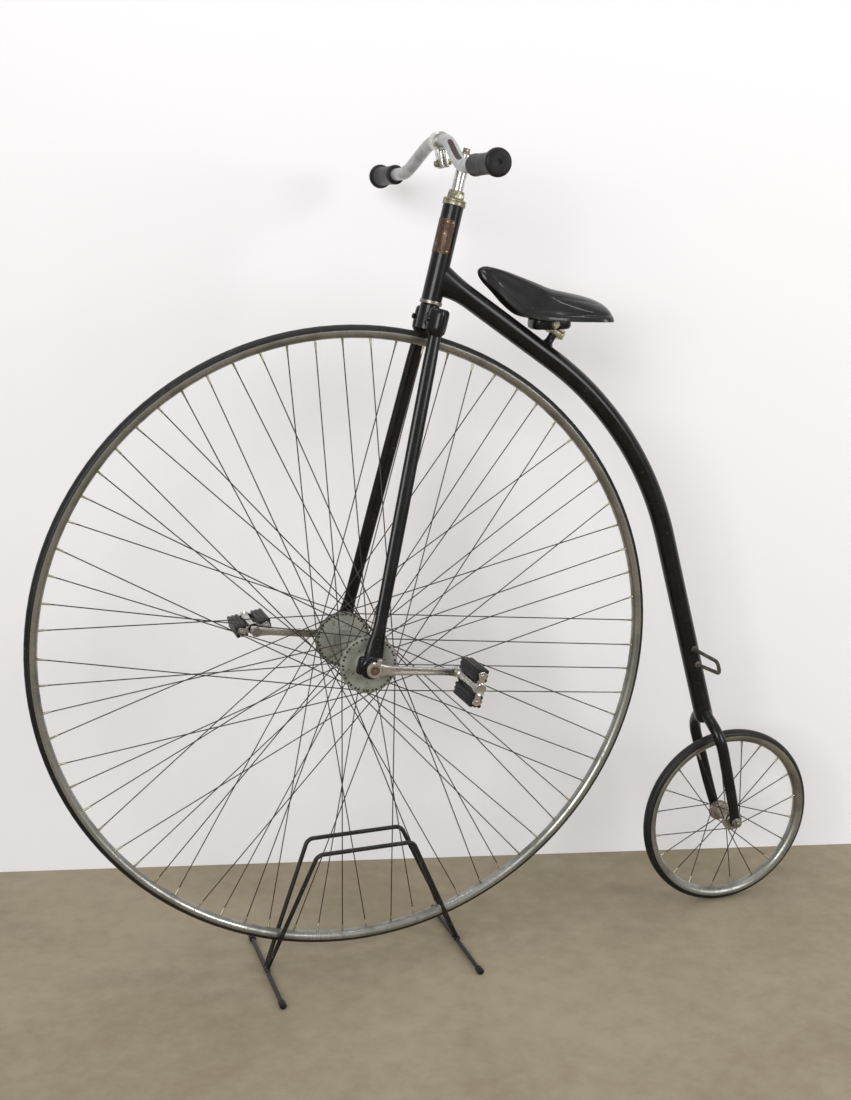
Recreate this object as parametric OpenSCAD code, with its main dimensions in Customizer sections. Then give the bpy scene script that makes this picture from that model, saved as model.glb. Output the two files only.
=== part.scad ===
// Penny farthing bicycle, standing in the rod stand that holds its front wheel.
// Millimetres. +X points to the rear of the bicycle, +Y to its right and +Z up.
// The origin lies on the floor, midway between the front of the big wheel and the
// back of the small one.

/* [Front wheel] */
// Outer diameter of the front tyre
front_d = 1250; // [1100:10:1500]
// Thickness of the round front tyre
front_tyre_d = 22; // [19:0.5:27]
// Height of the front tyre above the floor
front_lift = 44; // [35:1:60]
// Spokes on each side of the front wheel, an even number
front_spokes = 36; // [24:2:40]
// Angle of the first left-hand spoke at the rim
front_spoke_start = 5.8; // [0:0.1:20]
// Angle between the two spoke holes of a pair in the hub flange
spoke_pair_angle = 7.7; // [6:0.1:9]
// Angle round the hub from a spoke's rim end to its flange end, about
spoke_lay = 81.15; // [70:0.05:84]
// Diameter of the front spokes
spoke_d = 2.3; // [2:0.1:2.6]
// Diameter of the hub flanges
flange_d = 114; // [100:1:140]
// Diameter of the circle of spoke holes in the flanges
flange_holes_d = 104; // [90:1:108]
// Thickness of a hub flange
flange_t = 8; // [7.5:0.5:9]
// Distance between the middles of the two flanges
flange_gap = 194; // [170:2:230]
// Diameter of the hub barrel
barrel_d = 40; // [30:1:60]

/* [Rims] */
// Thickness of the rim at its edges
rim_wall = 1.6; // [1.2:0.1:2.5]
// How far the rim is thicker at its middle than at its edges
rim_belly = 1; // [0.5:0.1:2]

/* [Cranks and pedals] */
// Diameter of the crank spindle
spindle_d = 16; // [14:0.5:18]
// Length of a crank from spindle to pedal
crank_l = 170; // [140:1:190]
// Slope of the left crank below the horizontal
crank_slope = 7.15; // [-180:0.05:180]
// Diameter of the crank's eye round the spindle
crank_eye_d = 31; // [30:1:40]
// Thickness of the crank's eyes
crank_t = 13; // [10:0.5:16]
// Thickness of the crank's arm
crank_arm_t = 10; // [8:0.5:12]
// Height of the crank's arm beside the spindle
crank_arm_h = 18; // [14:0.5:22]
// Height of the crank's arm beside the pedal
crank_arm_tip_h = 14; // [11:0.5:17]
// Diameter of the crank's eye round the pedal pin
pedal_eye_d = 22; // [20:1:28]
// Diameter of the cotter pin that locks a crank
cotter_d = 7; // [6:0.5:8]
// Diameter of the pedal pin
pedal_pin_d = 12; // [10:0.5:13]
// Diameter of the pedal barrel
pedal_barrel_d = 19; // [17:0.5:24]
// Width of a pedal between the outsides of its end plates
pedal_w = 100; // [80:1:120]
// Distance between the two rods through the pedal blocks
pedal_rod_gap = 50; // [44:1:60]
// Diameter of the rods through the pedal blocks
pedal_rod_d = 6; // [5:0.5:8]
// Side of a square pedal block
block_side = 23; // [20:0.5:25]
// Thickness of a pedal's end plates
plate_t = 4; // [3:0.5:6]
// Turn of the left pedal from flat
left_pedal_turn = 76; // [-180:1:180]
// Turn of the right pedal from flat
right_pedal_turn = 9.5; // [-180:0.5:180]

/* [Steering head] */
// Backward lean of the steering axis
rake = 14.9; // [8:0.1:18]
// Distance from the steering axis back to the front axle
axle_offset = 12; // [0:0.5:20]
// Gap between the front tyre and the fork crown
crown_gap = 7; // [6:0.5:14]
// Height of the fork crown's boss
crown_h = 45; // [40:1:60]
// Diameter of the fork crown's boss
crown_d = 37; // [34:1:44]
// Length of the head tube
head_l = 174; // [140:1:220]
// Diameter of the head tube
head_d = 39; // [37:0.5:44]
// Wall of the head tube
head_wall = 2.5; // [2:0.1:3]
// Diameter of the steerer tube
steerer_d = 25.4; // [24:0.2:28]
// Diameter of the headset cups
cup_d = 43; // [41:0.5:48]
// Height of the lower headset cup
lower_cup_h = 7; // [5:0.5:12]
// Height of the upper headset cup
upper_cup_h = 13; // [8:0.5:18]
// Height of the headset's lock nut
lock_nut_h = 14; // [10:0.5:18]
// Width of the headset's lock nut across its corners
lock_nut_d = 34; // [32:0.5:38]
// Height of the plate on the head tube
plate_h = 62; // [40:1:80]
// Height on the head tube, from its lower end, of the plate's lower edge
plate_place = 86; // [70:1:100]
// How far the plate reaches round the head tube, each way from the front
plate_turn = 105; // [60:1:130]

/* [Fork] */
// Distance between the fork legs' middles at the crown
leg_top_gap = 84; // [80:1:130]
// Fore-and-aft width of a fork leg
leg_w = 27; // [24:0.5:30]
// Thickness of a fork leg
leg_t = 16; // [13:0.5:17]
// Diameter of the crown's sockets round the legs
socket_d = 37; // [36:0.5:44]
// Length of the crown's sockets
socket_l = 46; // [36:1:60]
// Diameter of the bearing housing at the end of a fork leg
housing_d = 47; // [42:1:56]
// Width of the bearing housing along the axle
housing_w = 24; // [20:0.5:28]

/* [Handlebar] */
// Diameter of the handlebar
bar_d = 23; // [20:0.5:25]
// Width of the handlebar over the grips
bar_w = 694; // [560:2:760]
// Drop of the grips below the middle of the bar
bar_drop = 52; // [20:1:90]
// Where the bar leaves its straight middle
bar_bend_start = 26; // [24:1:40]
// Where the bar is straight again for the grip
bar_bend_end = 186; // [150:1:200]
// Distance from the steering axis forward to the handlebar clamp
stem_reach = 55; // [44:1:90]
// Height of the stem above the lock nut
stem_rise = 74; // [62:1:120]
// Diameter of the stem's quill
quill_d = 22; // [20:0.2:22.6]
// Length of the quill inside the steerer
quill_inside = 75; // [50:1:100]
// Diameter of the stem's forward arm
stem_arm_d = 19; // [17:0.5:22]
// Width of the handlebar clamp
clamp_w = 34; // [28:1:44]
// Wall of the handlebar clamp
clamp_wall = 4; // [3:0.5:6]
// Distance from the middle of the bar down to the clamp's bolt
clamp_bolt_drop = 38; // [34:1:44]
// Turn of the clamp's bolt backward round the bar from straight below it
clamp_bolt_turn = 25; // [0:1:28]
// Diameter of the clamp's bolt
clamp_bolt_d = 7; // [6:0.5:8]
// Length of a grip
grip_l = 118; // [100:1:130]
// Diameter of a grip's body
grip_d = 35; // [32:0.5:38]
// Diameter of a grip's end flange
grip_flange_d = 47; // [42:1:54]
// Thickness of a grip's end flange
grip_flange_t = 13; // [8:0.5:18]

/* [Backbone] */
// Diameter of the backbone tube
backbone_d = 40; // [36:0.5:43]
// Slope of the backbone where it leaves the head
backbone_slope = 34.9; // [25:0.1:45]
// Height on the head tube, from its lower end, where the backbone meets it
backbone_seat = 49; // [36:1:70]
// Distance from the hub to the middle of the backbone's bend, past the front tyre
bend_margin = 42; // [36:1:70]
// Height of the fillet where the backbone flares to the head tube
flare = 17; // [8:0.5:22]

/* [Saddle] */
// Distance along the backbone from the head axis to the seat post
post_place = 258; // [220:1:270]
// Length of the seat post above the backbone
post_l = 22.5; // [18:0.5:60]
// Diameter of the seat post
post_d = 16; // [14:0.5:22]
// Length of the saddle
saddle_l = 280; // [240:1:300]
// Width of the saddle at its widest
saddle_w = 150; // [120:1:190]
// Fall of the saddle from nose to tail
saddle_tilt = 16; // [0:0.5:25]
// Height of the clamp between the post and the saddle
clamp_h = 26; // [20:1:32]
// Length of the saddle's bracket
bracket_l = 77; // [60:1:90]
// Width of the saddle's bracket
bracket_w = 56; // [40:1:70]

/* [Rear wheel] */
// Outer diameter of the rear tyre
rear_d = 405; // [360:5:460]
// Thickness of the round rear tyre
rear_tyre_d = 25; // [20:0.5:30]
// Distance from the back of the front wheel to the rear axle
rear_setback = 223; // [210:1:300]
// Spokes of the rear wheel, an even number
rear_spokes = 20; // [16:2:28]
// Diameter of the rear spokes
rear_spoke_d = 2.3; // [2:0.1:2.6]
// Diameter of the rear hub's flanges
rear_flange_d = 46; // [40:1:60]
// Diameter of the rear hub's circle of spoke holes
rear_flange_holes_d = 38; // [32:1:42]
// Thickness of a rear hub flange
rear_flange_t = 7; // [6.5:0.5:8]
// Width of the rear hub over its flanges
rear_hub_w = 70; // [60:1:74]
// Diameter of the rear hub's barrel
rear_barrel_d = 27; // [22:1:30]
// Diameter of the rear axle
rear_axle_d = 10; // [8:0.5:12]
// Distance between the middles of the rear fork's ends
dropout_gap = 90; // [86:1:110]
// Forward lean of the rear fork
tail_lean = 15.4; // [5:0.1:25]
// Distance from the rear tyre up to the end of the backbone
rear_crown_gap = 49; // [42:1:80]
// Diameter of a rear fork leg
rear_leg_d = 24; // [20:0.5:26]
// Distance between the rear fork legs' middles at their widest
rear_shoulder = 120; // [112:1:126]

/* [Step] */
// Diameter of the step's rod
step_rod_d = 8; // [7:0.5:10]
// How far the step stands out from the backbone's middle
step_reach = 96; // [80:1:130]
// Height of the step's upper end above the end of the backbone
step_place = 168; // [120:1:220]
// Distance between the step's two ends along the backbone
step_root_gap = 37; // [33:1:50]
// Distance between the step's two rods at its outer end
step_tip_gap = 28; // [26:1:40]

/* [Stand] */
// Diameter of the stand's rods
rod_d = 9; // [8:0.5:11]
// Distance between the stand's two foot bars
foot_spread = 412; // [340:2:460]
// Length of a foot bar
foot_l = 320; // [260:2:400]
// Length of a hoop's top bar
hoop_top_l = 200; // [160:2:240]
// Height of the hoops above the foot bars
hoop_h = 258; // [200:2:300]
// Inner bend radius of the hoops
hoop_bend = 14; // [10:1:24]
// Gap between the two hoops' legs at the foot bars
foot_gap = 6; // [2:0.5:12]
// Diameter of the caps on the foot bars' ends
cap_d = 14; // [13:0.5:18]
// Length of the caps
cap_l = 20; // [14:1:30]

/* [Fits] */
// Radial clearance of a running fit
run_gap = 0.05; // [0.02:0.01:0.1]
// Gap between a piece and the seat that it rests on
seat_gap = 0.3; // [0.2:0.05:0.5]

/* [Hidden] */
$fn = 64;

LEFT = -1;
RIGHT = 1;
BLACK = [0.05, 0.05, 0.06];
RUBBER = [0.09, 0.09, 0.1];
CHROME = [0.78, 0.79, 0.8];
STEEL = [0.5, 0.51, 0.5];
ZINC = [0.55, 0.56, 0.53];

// The wheels and where their axles lie
front_r = front_d / 2;
front_tyre_r = front_tyre_d / 2;
rear_r = rear_d / 2;
rear_tyre_r = rear_tyre_d / 2;
front_core_r = front_r - front_tyre_r;
rear_core_r = rear_r - rear_tyre_r;
hub_x = -(rear_setback + rear_r) / 2;
hub = [hub_x, 0, front_lift + front_r];
rear_axle_at = [hub_x + front_r + rear_setback, 0, rear_r];
flange_y = flange_gap / 2;
barrel_end = flange_y + flange_t / 2;

// Places across the bicycle, from the front hub outwards
housing_in = barrel_end + 2;
housing_out = housing_in + housing_w;
crank_in = housing_out + 3;
crank_out = crank_in + crank_t;
pedal_collar = 8;
pedal_in = crank_out + pedal_collar + 4;
pedal_out = pedal_in + pedal_w;
cotter_at = spindle_d / 2 + 1.5;

// Places along the steering axis, from the point nearest to the front axle
crown_s = front_r + crown_gap;
crown_top = crown_s + crown_h;
head_s = crown_top + seat_gap + lower_cup_h;
head_top = head_s + head_l;
upper_cup_top = head_top + upper_cup_h;
lock_nut_s = upper_cup_top + seat_gap;
steerer_top = lock_nut_s + lock_nut_h;
clamp_s = steerer_top + stem_rise;
quill_top = clamp_s - 9;
steerer_r = steerer_d / 2;
head_bore_r = head_d / 2 - head_wall;
cup_spigot = 12;
bar_r = bar_d / 2;
clamp_r = bar_r + clamp_wall;
bar_end = bar_w / 2 - 4;

// The backbone: a straight length from the head, one bend, and a straight length down
backbone_r = backbone_d / 2;
bend_r = front_r + bend_margin;
tail_slope = 90 - tail_lean;
backbone_start = steer_point([0, 0, head_s + backbone_seat]);
backbone_end = rear_axle_at
    + (rear_r + rear_crown_gap) * [-sin(tail_lean), 0, cos(tail_lean)];
d_first = slope_dir(backbone_slope);
d_last = slope_dir(tail_slope);
bend_chord = bend_r * [sin(tail_slope) - sin(backbone_slope), 0,
                       cos(tail_slope) - cos(backbone_slope)];
span = backbone_end - backbone_start - bend_chord;
straight_det = d_first.x * d_last.z - d_first.z * d_last.x;
first_l = (span.x * d_last.z - span.z * d_last.x) / straight_det;
last_l = (d_first.x * span.z - d_first.z * span.x) / straight_det;

// The saddle stands on a post square to the backbone
post_foot = backbone_start + post_place * d_first;
post_up = [sin(backbone_slope), 0, cos(backbone_slope)];
post_top = post_foot + (backbone_r + post_l) * post_up;

// The stand's rods: each hoop leans in so that its legs pinch the tyre
rod_r = rod_d / 2;
cap_r = cap_d / 2;
foot_z = cap_r;
foot_half_gap = rod_r + foot_gap / 2;
hoop_foot = [foot_spread / 2, foot_z + rod_r];
hoop_top = [hoop_top_l / 2, foot_z + hoop_h];
// Share of a hoop leg's length, from its foot, at which it passes the tyre's middle
cradle_t = cross_share(hoop_foot - [0, hub.z], hoop_top - [0, hub.z], front_core_r);
cradle_half_gap = front_tyre_r + rim_wall + rod_r + seat_gap;
hoop_half_gap = foot_half_gap + (cradle_half_gap - foot_half_gap) / cradle_t;

function slope_dir(a) = [cos(a), 0, -sin(a)];
function unit(v) = v / norm(v);
function smooth(t) = let(u = min(1, max(0, t))) u * u * (3 - 2 * u);
function mirror_y(p, side) = [p.x, side * p.y, p.z];
function on_wheel(centre, r, a, y) = centre + [r * cos(a), y, r * sin(a)];

// A point given in the steering head's own directions: x back, y right, z up the axis
function steer_point(p) = hub
    + [(p.x - axle_offset) * cos(rake) + p.z * sin(rake), p.y,
       p.z * cos(rake) - (p.x - axle_offset) * sin(rake)];

// Where the line from a to b, both [x, z], leaves the circle of radius r about zero
function cross_share(a, b, r) = let(d = b - a, k = d * d, h = a * d, c = a * a - r * r)
    (-h - sqrt(h * h - k * c)) / k;

// A point s along the backbone's middle, and the direction there
function backbone_angle(s) = backbone_slope
    + (tail_slope - backbone_slope) * min(1, max(0, (s - first_l) / bend_l));
bend_l = bend_r * (tail_slope - backbone_slope) * PI / 180;
backbone_l = first_l + bend_l + last_l;
function backbone_point(s) = let(a = backbone_angle(s))
    backbone_start + min(s, first_l) * d_first
    + bend_r * [sin(a) - sin(backbone_slope), 0, cos(a) - cos(backbone_slope)]
    + max(0, s - first_l - bend_l) * d_last;

// Rounded path through corner points: every corner becomes an arc of radius r
function corner(p, q, w, r, steps) = let(u = unit(p - q), v = unit(w - q),
        half = acos(max(-1, min(1, u * v))) / 2, d = r / tan(half),
        mid = q + unit(u + v) * r / sin(half), a = q + u * d - mid, b = q + v * d - mid,
        turn = 180 - 2 * half)
    [for (i = [0:steps]) let(t = i / steps)
        mid + (a * sin((1 - t) * turn) + b * sin(t * turn)) / sin(turn)];
function rounded(points, r, steps = 5) = [points[0],
    for (i = [1:len(points) - 2]) each corner(points[i - 1], points[i], points[i + 1], r, steps),
    points[len(points) - 1]];

// Direction of a path at its point i
function heading(path, i) = unit(path[min(i + 1, len(path) - 1)] - path[max(i - 1, 0)]);

// Tube swept along a path. Each ring is an ellipse square to the path, with its half
// width a[i] along the direction across, and b[i] square to that.
module swept(path, a, b, across, sides = 16) {
    rings = [for (i = [0:len(path) - 1]) let(t = heading(path, i),
            u = unit(across - (across * t) * t), v = cross(t, u))
        for (k = [0:sides - 1]) let(w = 360 * k / sides)
            path[i] + a[i] * cos(w) * u + b[i] * sin(w) * v];
    last = len(path) - 1;
    polyhedron(points = rings, faces = concat(
        [[for (k = [0:sides - 1]) k]],
        [for (i = [0:last - 1], k = [0:sides - 1]) let(n = (k + 1) % sides)
            [i * sides + n, i * sides + k, (i + 1) * sides + k, (i + 1) * sides + n]],
        [[for (k = [sides - 1:-1:0]) last * sides + k]]));
}
module rod(path, r, across, sides = 12) {
    radii = [for (p = path) r];
    swept(path, radii, radii, across, sides);
}

// Straight round bar from p to q
module bar(p, q, r) {
    v = q - p;
    translate(p) rotate([0, acos(v.z / norm(v)), atan2(v.y, v.x)]) cylinder(r = r, h = norm(v));
}
// Cylinder along +Y on a side of the bicycle, from y = from to y = to
module across_bar(side, from, to, r) {
    rotate([side == RIGHT ? -90 : 90, 0, 0]) translate([0, 0, from]) cylinder(r = r, h = to - from);
}
// What is inside stands in the steering head's own directions
module steered() {
    translate(hub) rotate([0, rake, 0]) translate([-axle_offset, 0, 0]) children();
}
// What is inside turns about the wheel's axle, with +Z laid along +Y
module on_axle(centre) {
    translate(centre) rotate([90, 0, 0]) children();
}

module tyre(core_r, tyre_r) {
    rotate_extrude($fn = 180) translate([core_r, 0]) circle(r = tyre_r, $fn = 48);
}
module rim(core_r, tyre_r) {
    rotate_extrude($fn = 180) difference() {
        intersection() {
            translate([core_r - rim_belly, 0]) circle(r = tyre_r + rim_wall, $fn = 48);
            translate([core_r - 2 * tyre_r, -2 * tyre_r]) square([2 * tyre_r + 1, 4 * tyre_r]);
        }
        translate([core_r, 0]) circle(r = tyre_r + run_gap, $fn = 48);
    }
}
// Inner radius of a rim
function rim_inner(core_r, tyre_r) = core_r - rim_belly - tyre_r - rim_wall;

// Spokes of one side. Every second spoke lies back round the hub, the others forward,
// and the two sets pass each other lay_gap apart.
module spokes(side, centre, count, start, lay, holes_r, y, rim_r, r, lay_gap) {
    for (i = [0:count - 1]) {
        turn = i % 2 == 0 ? -1 : 1;
        rim_a = start + i * 360 / count;
        bar(on_wheel(centre, holes_r, rim_a + turn * lay, side * (y + turn * lay_gap / 2)),
            on_wheel(centre, rim_r, rim_a, side * spoke_d), r);
    }
}

module front_tyre() { color(RUBBER) on_axle(hub) tyre(front_core_r, front_tyre_r); }
module front_rim() { color(STEEL) on_axle(hub) rim(front_core_r, front_tyre_r); }
module front_spokes(side) {
    pitch = 360 / front_spokes;
    color(STEEL) spokes(side, hub, front_spokes,
        front_spoke_start + (side == RIGHT ? pitch / 2 : 0), spoke_lay, flange_holes_d / 2,
        flange_y, rim_inner(front_core_r, front_tyre_r) + rim_wall, spoke_d / 2, 5.2);
}
module front_hub() {
    color(ZINC) on_axle(hub) difference() {
        union() {
            cylinder(d = barrel_d, h = 2 * barrel_end, center = true);
            for (side = [LEFT, RIGHT])
                translate([0, 0, side * flange_y]) cylinder(d = flange_d, h = flange_t, center = true);
        }
        cylinder(r = spindle_d / 2 + run_gap, h = 3 * flange_gap, center = true);
    }
}
module crank_spindle() {
    color(STEEL) difference() {
        translate(hub) union() {
            across_bar(RIGHT, -crank_out - 1, crank_out + 1, spindle_d / 2);
            for (side = [LEFT, RIGHT])
                across_bar(side, housing_out + seat_gap, crank_in, spindle_d / 2 + 5);
        }
        for (side = [LEFT, RIGHT]) cotter(side, cotter_d / 2 + run_gap);
    }
}

// Turns what is inside so that +X runs along the crank from spindle to pedal
module on_crank(side) {
    translate(hub) rotate([0, crank_slope + (side == LEFT ? 0 : 180), 0]) children();
}
module cotter(side, r) {
    on_crank(side) translate([cotter_at, side * (crank_in + crank_out) / 2, 0])
        cylinder(r = r, h = crank_eye_d + 8, center = true);
}
module crank(side) {
    color(CHROME) difference() {
        on_crank(side) {
            across_bar(side, crank_in, crank_out, crank_eye_d / 2);
            translate([crank_l, 0, 0]) across_bar(side, crank_in, crank_out, pedal_eye_d / 2);
            rotate([90, 0, 0]) translate([0, 0, -side * (crank_in + crank_out) / 2])
                linear_extrude(crank_arm_t, center = true)
                    polygon([[0, -crank_arm_h / 2], [crank_l, -crank_arm_tip_h / 2],
                             [crank_l, crank_arm_tip_h / 2], [0, crank_arm_h / 2]]);
        }
        translate(hub) across_bar(RIGHT, -2 * crank_out, 2 * crank_out, spindle_d / 2 + run_gap);
        on_crank(side) translate([crank_l, 0, 0])
            across_bar(side, crank_in - 5, crank_out + 5, pedal_pin_d / 2 + run_gap);
        cotter(side, cotter_d / 2 + run_gap);
    }
}
module crank_cotters() {
    color(CHROME) for (side = [LEFT, RIGHT]) {
        cotter(side, cotter_d / 2);
        on_crank(side) translate([cotter_at, side * (crank_in + crank_out) / 2, 0])
            rotate([side == LEFT ? 0 : 180, 0, 0]) translate([0, 0, crank_eye_d / 2])
                cylinder(d = cotter_d + 5, h = 5, $fn = 6);
    }
}

// Turns what is inside to a pedal: its middle at the pin, +X along the pedal's plane
function pedal_turn(side) = side == LEFT ? left_pedal_turn : right_pedal_turn;
function pedal_at(side) = hub - side * crank_l * slope_dir(crank_slope);
module on_pedal(side) {
    translate(pedal_at(side)) rotate([0, -pedal_turn(side), 0]) children();
}
module pedal_pin(side) {
    color(STEEL) translate(pedal_at(side)) {
        across_bar(side, crank_in - 6, pedal_out - 1, pedal_pin_d / 2);
        across_bar(side, crank_out, crank_out + pedal_collar, pedal_pin_d / 2 + 3);
        rotate([90, 0, 0]) translate([0, 0, side == LEFT ? crank_in - 6 : -crank_in])
            cylinder(d = pedal_pin_d + 7, h = 6, $fn = 6);
    }
}
module pedal_cage(side) {
    color(CHROME) on_pedal(side) difference() {
        union() {
            across_bar(side, pedal_in, pedal_out, pedal_barrel_d / 2);
            across_bar(side, pedal_out - 0.5, pedal_out + 6, pedal_barrel_d / 2 + 1.5);
            for (y = [pedal_in, pedal_out - plate_t], x = [-1, 0, 1])
                translate([x * pedal_rod_gap / 2, 0, 0])
                    across_bar(side, y, y + plate_t, x == 0 ? pedal_barrel_d / 2 + 3 : 8);
            for (y = [pedal_in, pedal_out - plate_t])
                translate([-pedal_rod_gap / 2, min(side * y, side * (y + plate_t)), -6])
                    cube([pedal_rod_gap, plate_t, 12]);
            for (x = [-1, 1]) translate([x * pedal_rod_gap / 2, 0, 0])
                across_bar(side, pedal_in - 2, pedal_out + 3, pedal_rod_d / 2);
        }
        across_bar(side, pedal_in - 1, pedal_out, pedal_pin_d / 2 + run_gap);
    }
}
module pedal_blocks(side) {
    color(RUBBER) on_pedal(side) for (x = [-1, 1]) difference() {
        translate([x * pedal_rod_gap / 2 - block_side / 2,
                   min(side * (pedal_in + plate_t), side * (pedal_out - plate_t)),
                   -block_side / 2])
            cube([block_side, pedal_w - 2 * plate_t, block_side]);
        translate([x * pedal_rod_gap / 2, 0, 0])
            across_bar(side, pedal_in, pedal_out, pedal_rod_d / 2 + run_gap);
    }
}

// Fork
leg_top = [axle_offset * 0.6, leg_top_gap / 2, crown_s + 14];
leg_knee = [axle_offset, housing_in + 8.5, 70];
leg_foot = [axle_offset, (housing_in + housing_out) / 2, spindle_d / 2 + 5];
module fork_crown() {
    color(BLACK) steered() difference() {
        union() {
            translate([0, 0, crown_s]) cylinder(d = crown_d, h = crown_h);
            for (side = [LEFT, RIGHT])
                translate([leg_top.x, side * leg_top.y, crown_top - socket_l - 4])
                    cylinder(d = socket_d, h = socket_l);
            translate([-12, -leg_top.y, crown_s + 1]) cube([26 + leg_top.x, 2 * leg_top.y, crown_h - 12]);
        }
        translate([0, 0, crown_s - 1]) cylinder(r = steerer_r + run_gap, h = crown_h + 2);
    }
}
module fork_leg(side) {
    // columns: share of the way from crown to knee, half width, half thickness
    rows = [[0, 0.42, 0.5], [0.12, 0.5, 0.5], [0.6, 0.48, 0.5], [1, 0.44, 0.46]];
    path = [for (row = rows) steer_point(mirror_y(leg_top + row[0] * (leg_knee - leg_top), side)),
            steer_point(mirror_y(leg_foot, side))];
    color(BLACK) swept(path, concat([for (row = rows) row[1] * leg_w], [0.4 * leg_w]),
        concat([for (row = rows) row[2] * leg_t], [0.44 * leg_t]), slope_dir(rake), 20);
}
module axle_housing(side) {
    color(BLACK) difference() {
        steered() translate([axle_offset, 0, 0]) {
            across_bar(side, housing_in, housing_out, housing_d / 2);
            translate([-housing_d / 4, 0, 0]) across_bar(side, housing_in + 2, housing_out - 2, housing_d / 2 - 3);
        }
        translate(hub) across_bar(side, housing_in - 1, housing_out + 1, spindle_d / 2 + run_gap);
    }
}
module steerer() {
    color(STEEL) steered() translate([0, 0, crown_s]) difference() {
        cylinder(r = steerer_r, h = steerer_top - crown_s);
        translate([0, 0, 30]) cylinder(r = quill_d / 2 + run_gap, h = steerer_top);
    }
}
module head_lock_nut() {
    color(CHROME) steered() translate([0, 0, lock_nut_s]) difference() {
        union() {
            cylinder(d = lock_nut_d, h = lock_nut_h - 5, $fn = 6);
            cylinder(d = lock_nut_d - 5, h = lock_nut_h);
        }
        translate([0, 0, -1]) cylinder(r = steerer_r + run_gap, h = lock_nut_h + 2);
    }
}

// Stem and handlebar
// Turns what is inside so that its zero is the bar's middle and -Z runs to the clamp's bolt
module at_clamp() {
    translate([-stem_reach, 0, clamp_s]) rotate([0, -clamp_bolt_turn, 0]) children();
}
module stem() {
    color(CHROME) steered() difference() {
        union() {
            translate([0, 0, steerer_top - quill_inside])
                cylinder(d = quill_d, h = quill_top - steerer_top + quill_inside);
            bar([0, 0, quill_top - stem_arm_d / 2 - 1], [-stem_reach, 0, clamp_s - 4], stem_arm_d / 2);
            translate([-stem_reach, 0, clamp_s]) rotate([90, 0, 0])
                cylinder(r = clamp_r, h = clamp_w, center = true);
            at_clamp() translate([-9, -9, -clamp_bolt_drop - 9]) cube([18, 18, clamp_bolt_drop]);
        }
        translate([-stem_reach, 0, clamp_s]) rotate([90, 0, 0])
            cylinder(r = bar_r + run_gap, h = clamp_w + 2, center = true);
        at_clamp() {
            translate([-1.5, -clamp_w, -clamp_bolt_drop - 10]) cube([3, 2 * clamp_w, clamp_bolt_drop]);
            translate([0, 0, -clamp_bolt_drop]) rotate([0, 90, 0])
                cylinder(r = clamp_bolt_d / 2 + run_gap, h = 30, center = true);
        }
    }
}
module stem_bolt() {
    color(CHROME) steered() translate([0, 0, quill_top]) {
        cylinder(d = 18, h = 3);
        cylinder(d = 15, h = 11, $fn = 6);
    }
}
module clamp_bolt() {
    color(STEEL) steered() at_clamp() translate([0, 0, -clamp_bolt_drop]) rotate([0, 90, 0]) {
        cylinder(d = clamp_bolt_d, h = 34, center = true);
        for (x = [-1, 1]) translate([0, 0, x * 12]) cylinder(d = clamp_bolt_d + 6, h = 6, center = true, $fn = 6);
    }
}
function bar_fall(y) = bar_drop * smooth((y - bar_bend_start) / (bar_bend_end - bar_bend_start));
bar_steps = 8;
// Half of the bar, from its middle outwards, in places across the bicycle
bar_places = concat([for (i = [0:bar_steps]) bar_bend_start + i / bar_steps * (bar_bend_end - bar_bend_start)], [bar_end]);
module handlebar() {
    half = [for (y = bar_places) [y, bar_fall(y)]];
    path = concat([for (i = [len(half) - 1:-1:0]) steer_point([-stem_reach, -half[i][0], clamp_s - half[i][1]])],
                  [for (h = half) steer_point([-stem_reach, h[0], clamp_s - h[1]])]);
    color(CHROME) rod(path, bar_r, [1, 0, 0], 20);
}
module grip(side) {
    outer = bar_w / 2;
    color(RUBBER) translate(steer_point([-stem_reach, 0, clamp_s - bar_drop]))
        rotate([side == RIGHT ? -90 : 90, 0, 0]) rotate_extrude() polygon([
            [bar_r + run_gap, outer - grip_l], [grip_d / 2 - 2, outer - grip_l],
            [grip_d / 2, outer - grip_l + 3], [grip_d / 2 - 1, outer - grip_flange_t - 8],
            [grip_flange_d / 2 - 1, outer - grip_flange_t], [grip_flange_d / 2, outer - grip_flange_t + 3],
            [grip_flange_d / 2, outer - 4], [grip_flange_d / 2 - 4, outer], [0, outer],
            [0, outer - 3.7], [bar_r + run_gap, outer - 3.7]]);
}

// Stand
module stand_hoop(side) {
    path = rounded([for (x = [-1, 1], k = [0, 1]) let(up = x < 0 ? k : 1 - k,
            p = up == 0 ? hoop_foot : hoop_top)
        [hub_x + x * p.x, side * (up == 0 ? foot_half_gap : hoop_half_gap), p[1]]], hoop_bend + rod_r);
    color(BLACK) rod(path, rod_r, [0, 1, 0], 12);
}
module stand_foot(x) {
    color(BLACK) translate([hub_x + x * foot_spread / 2, 0, foot_z]) rotate([90, 0, 0])
        cylinder(r = rod_r, h = foot_l - 2, center = true);
}
module stand_caps() {
    color(RUBBER) for (x = [-1, 1], side = [LEFT, RIGHT])
        translate([hub_x + x * foot_spread / 2, 0, foot_z]) rotate([side == RIGHT ? -90 : 90, 0, 0])
            rotate_extrude() polygon([[rod_r, foot_l / 2 - cap_l], [cap_r - 1, foot_l / 2 - cap_l],
                [cap_r, foot_l / 2 - cap_l + 2], [cap_r, foot_l / 2 - 3], [cap_r - 3, foot_l / 2],
                [0, foot_l / 2], [0, foot_l / 2 - 1], [rod_r, foot_l / 2 - 1]]);
}

// Frame
module head_tube() {
    color(BLACK) steered() translate([0, 0, head_s]) difference() {
        cylinder(d = head_d, h = head_l);
        translate([0, 0, -1]) cylinder(r = head_bore_r, h = head_l + 2);
    }
}
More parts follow.
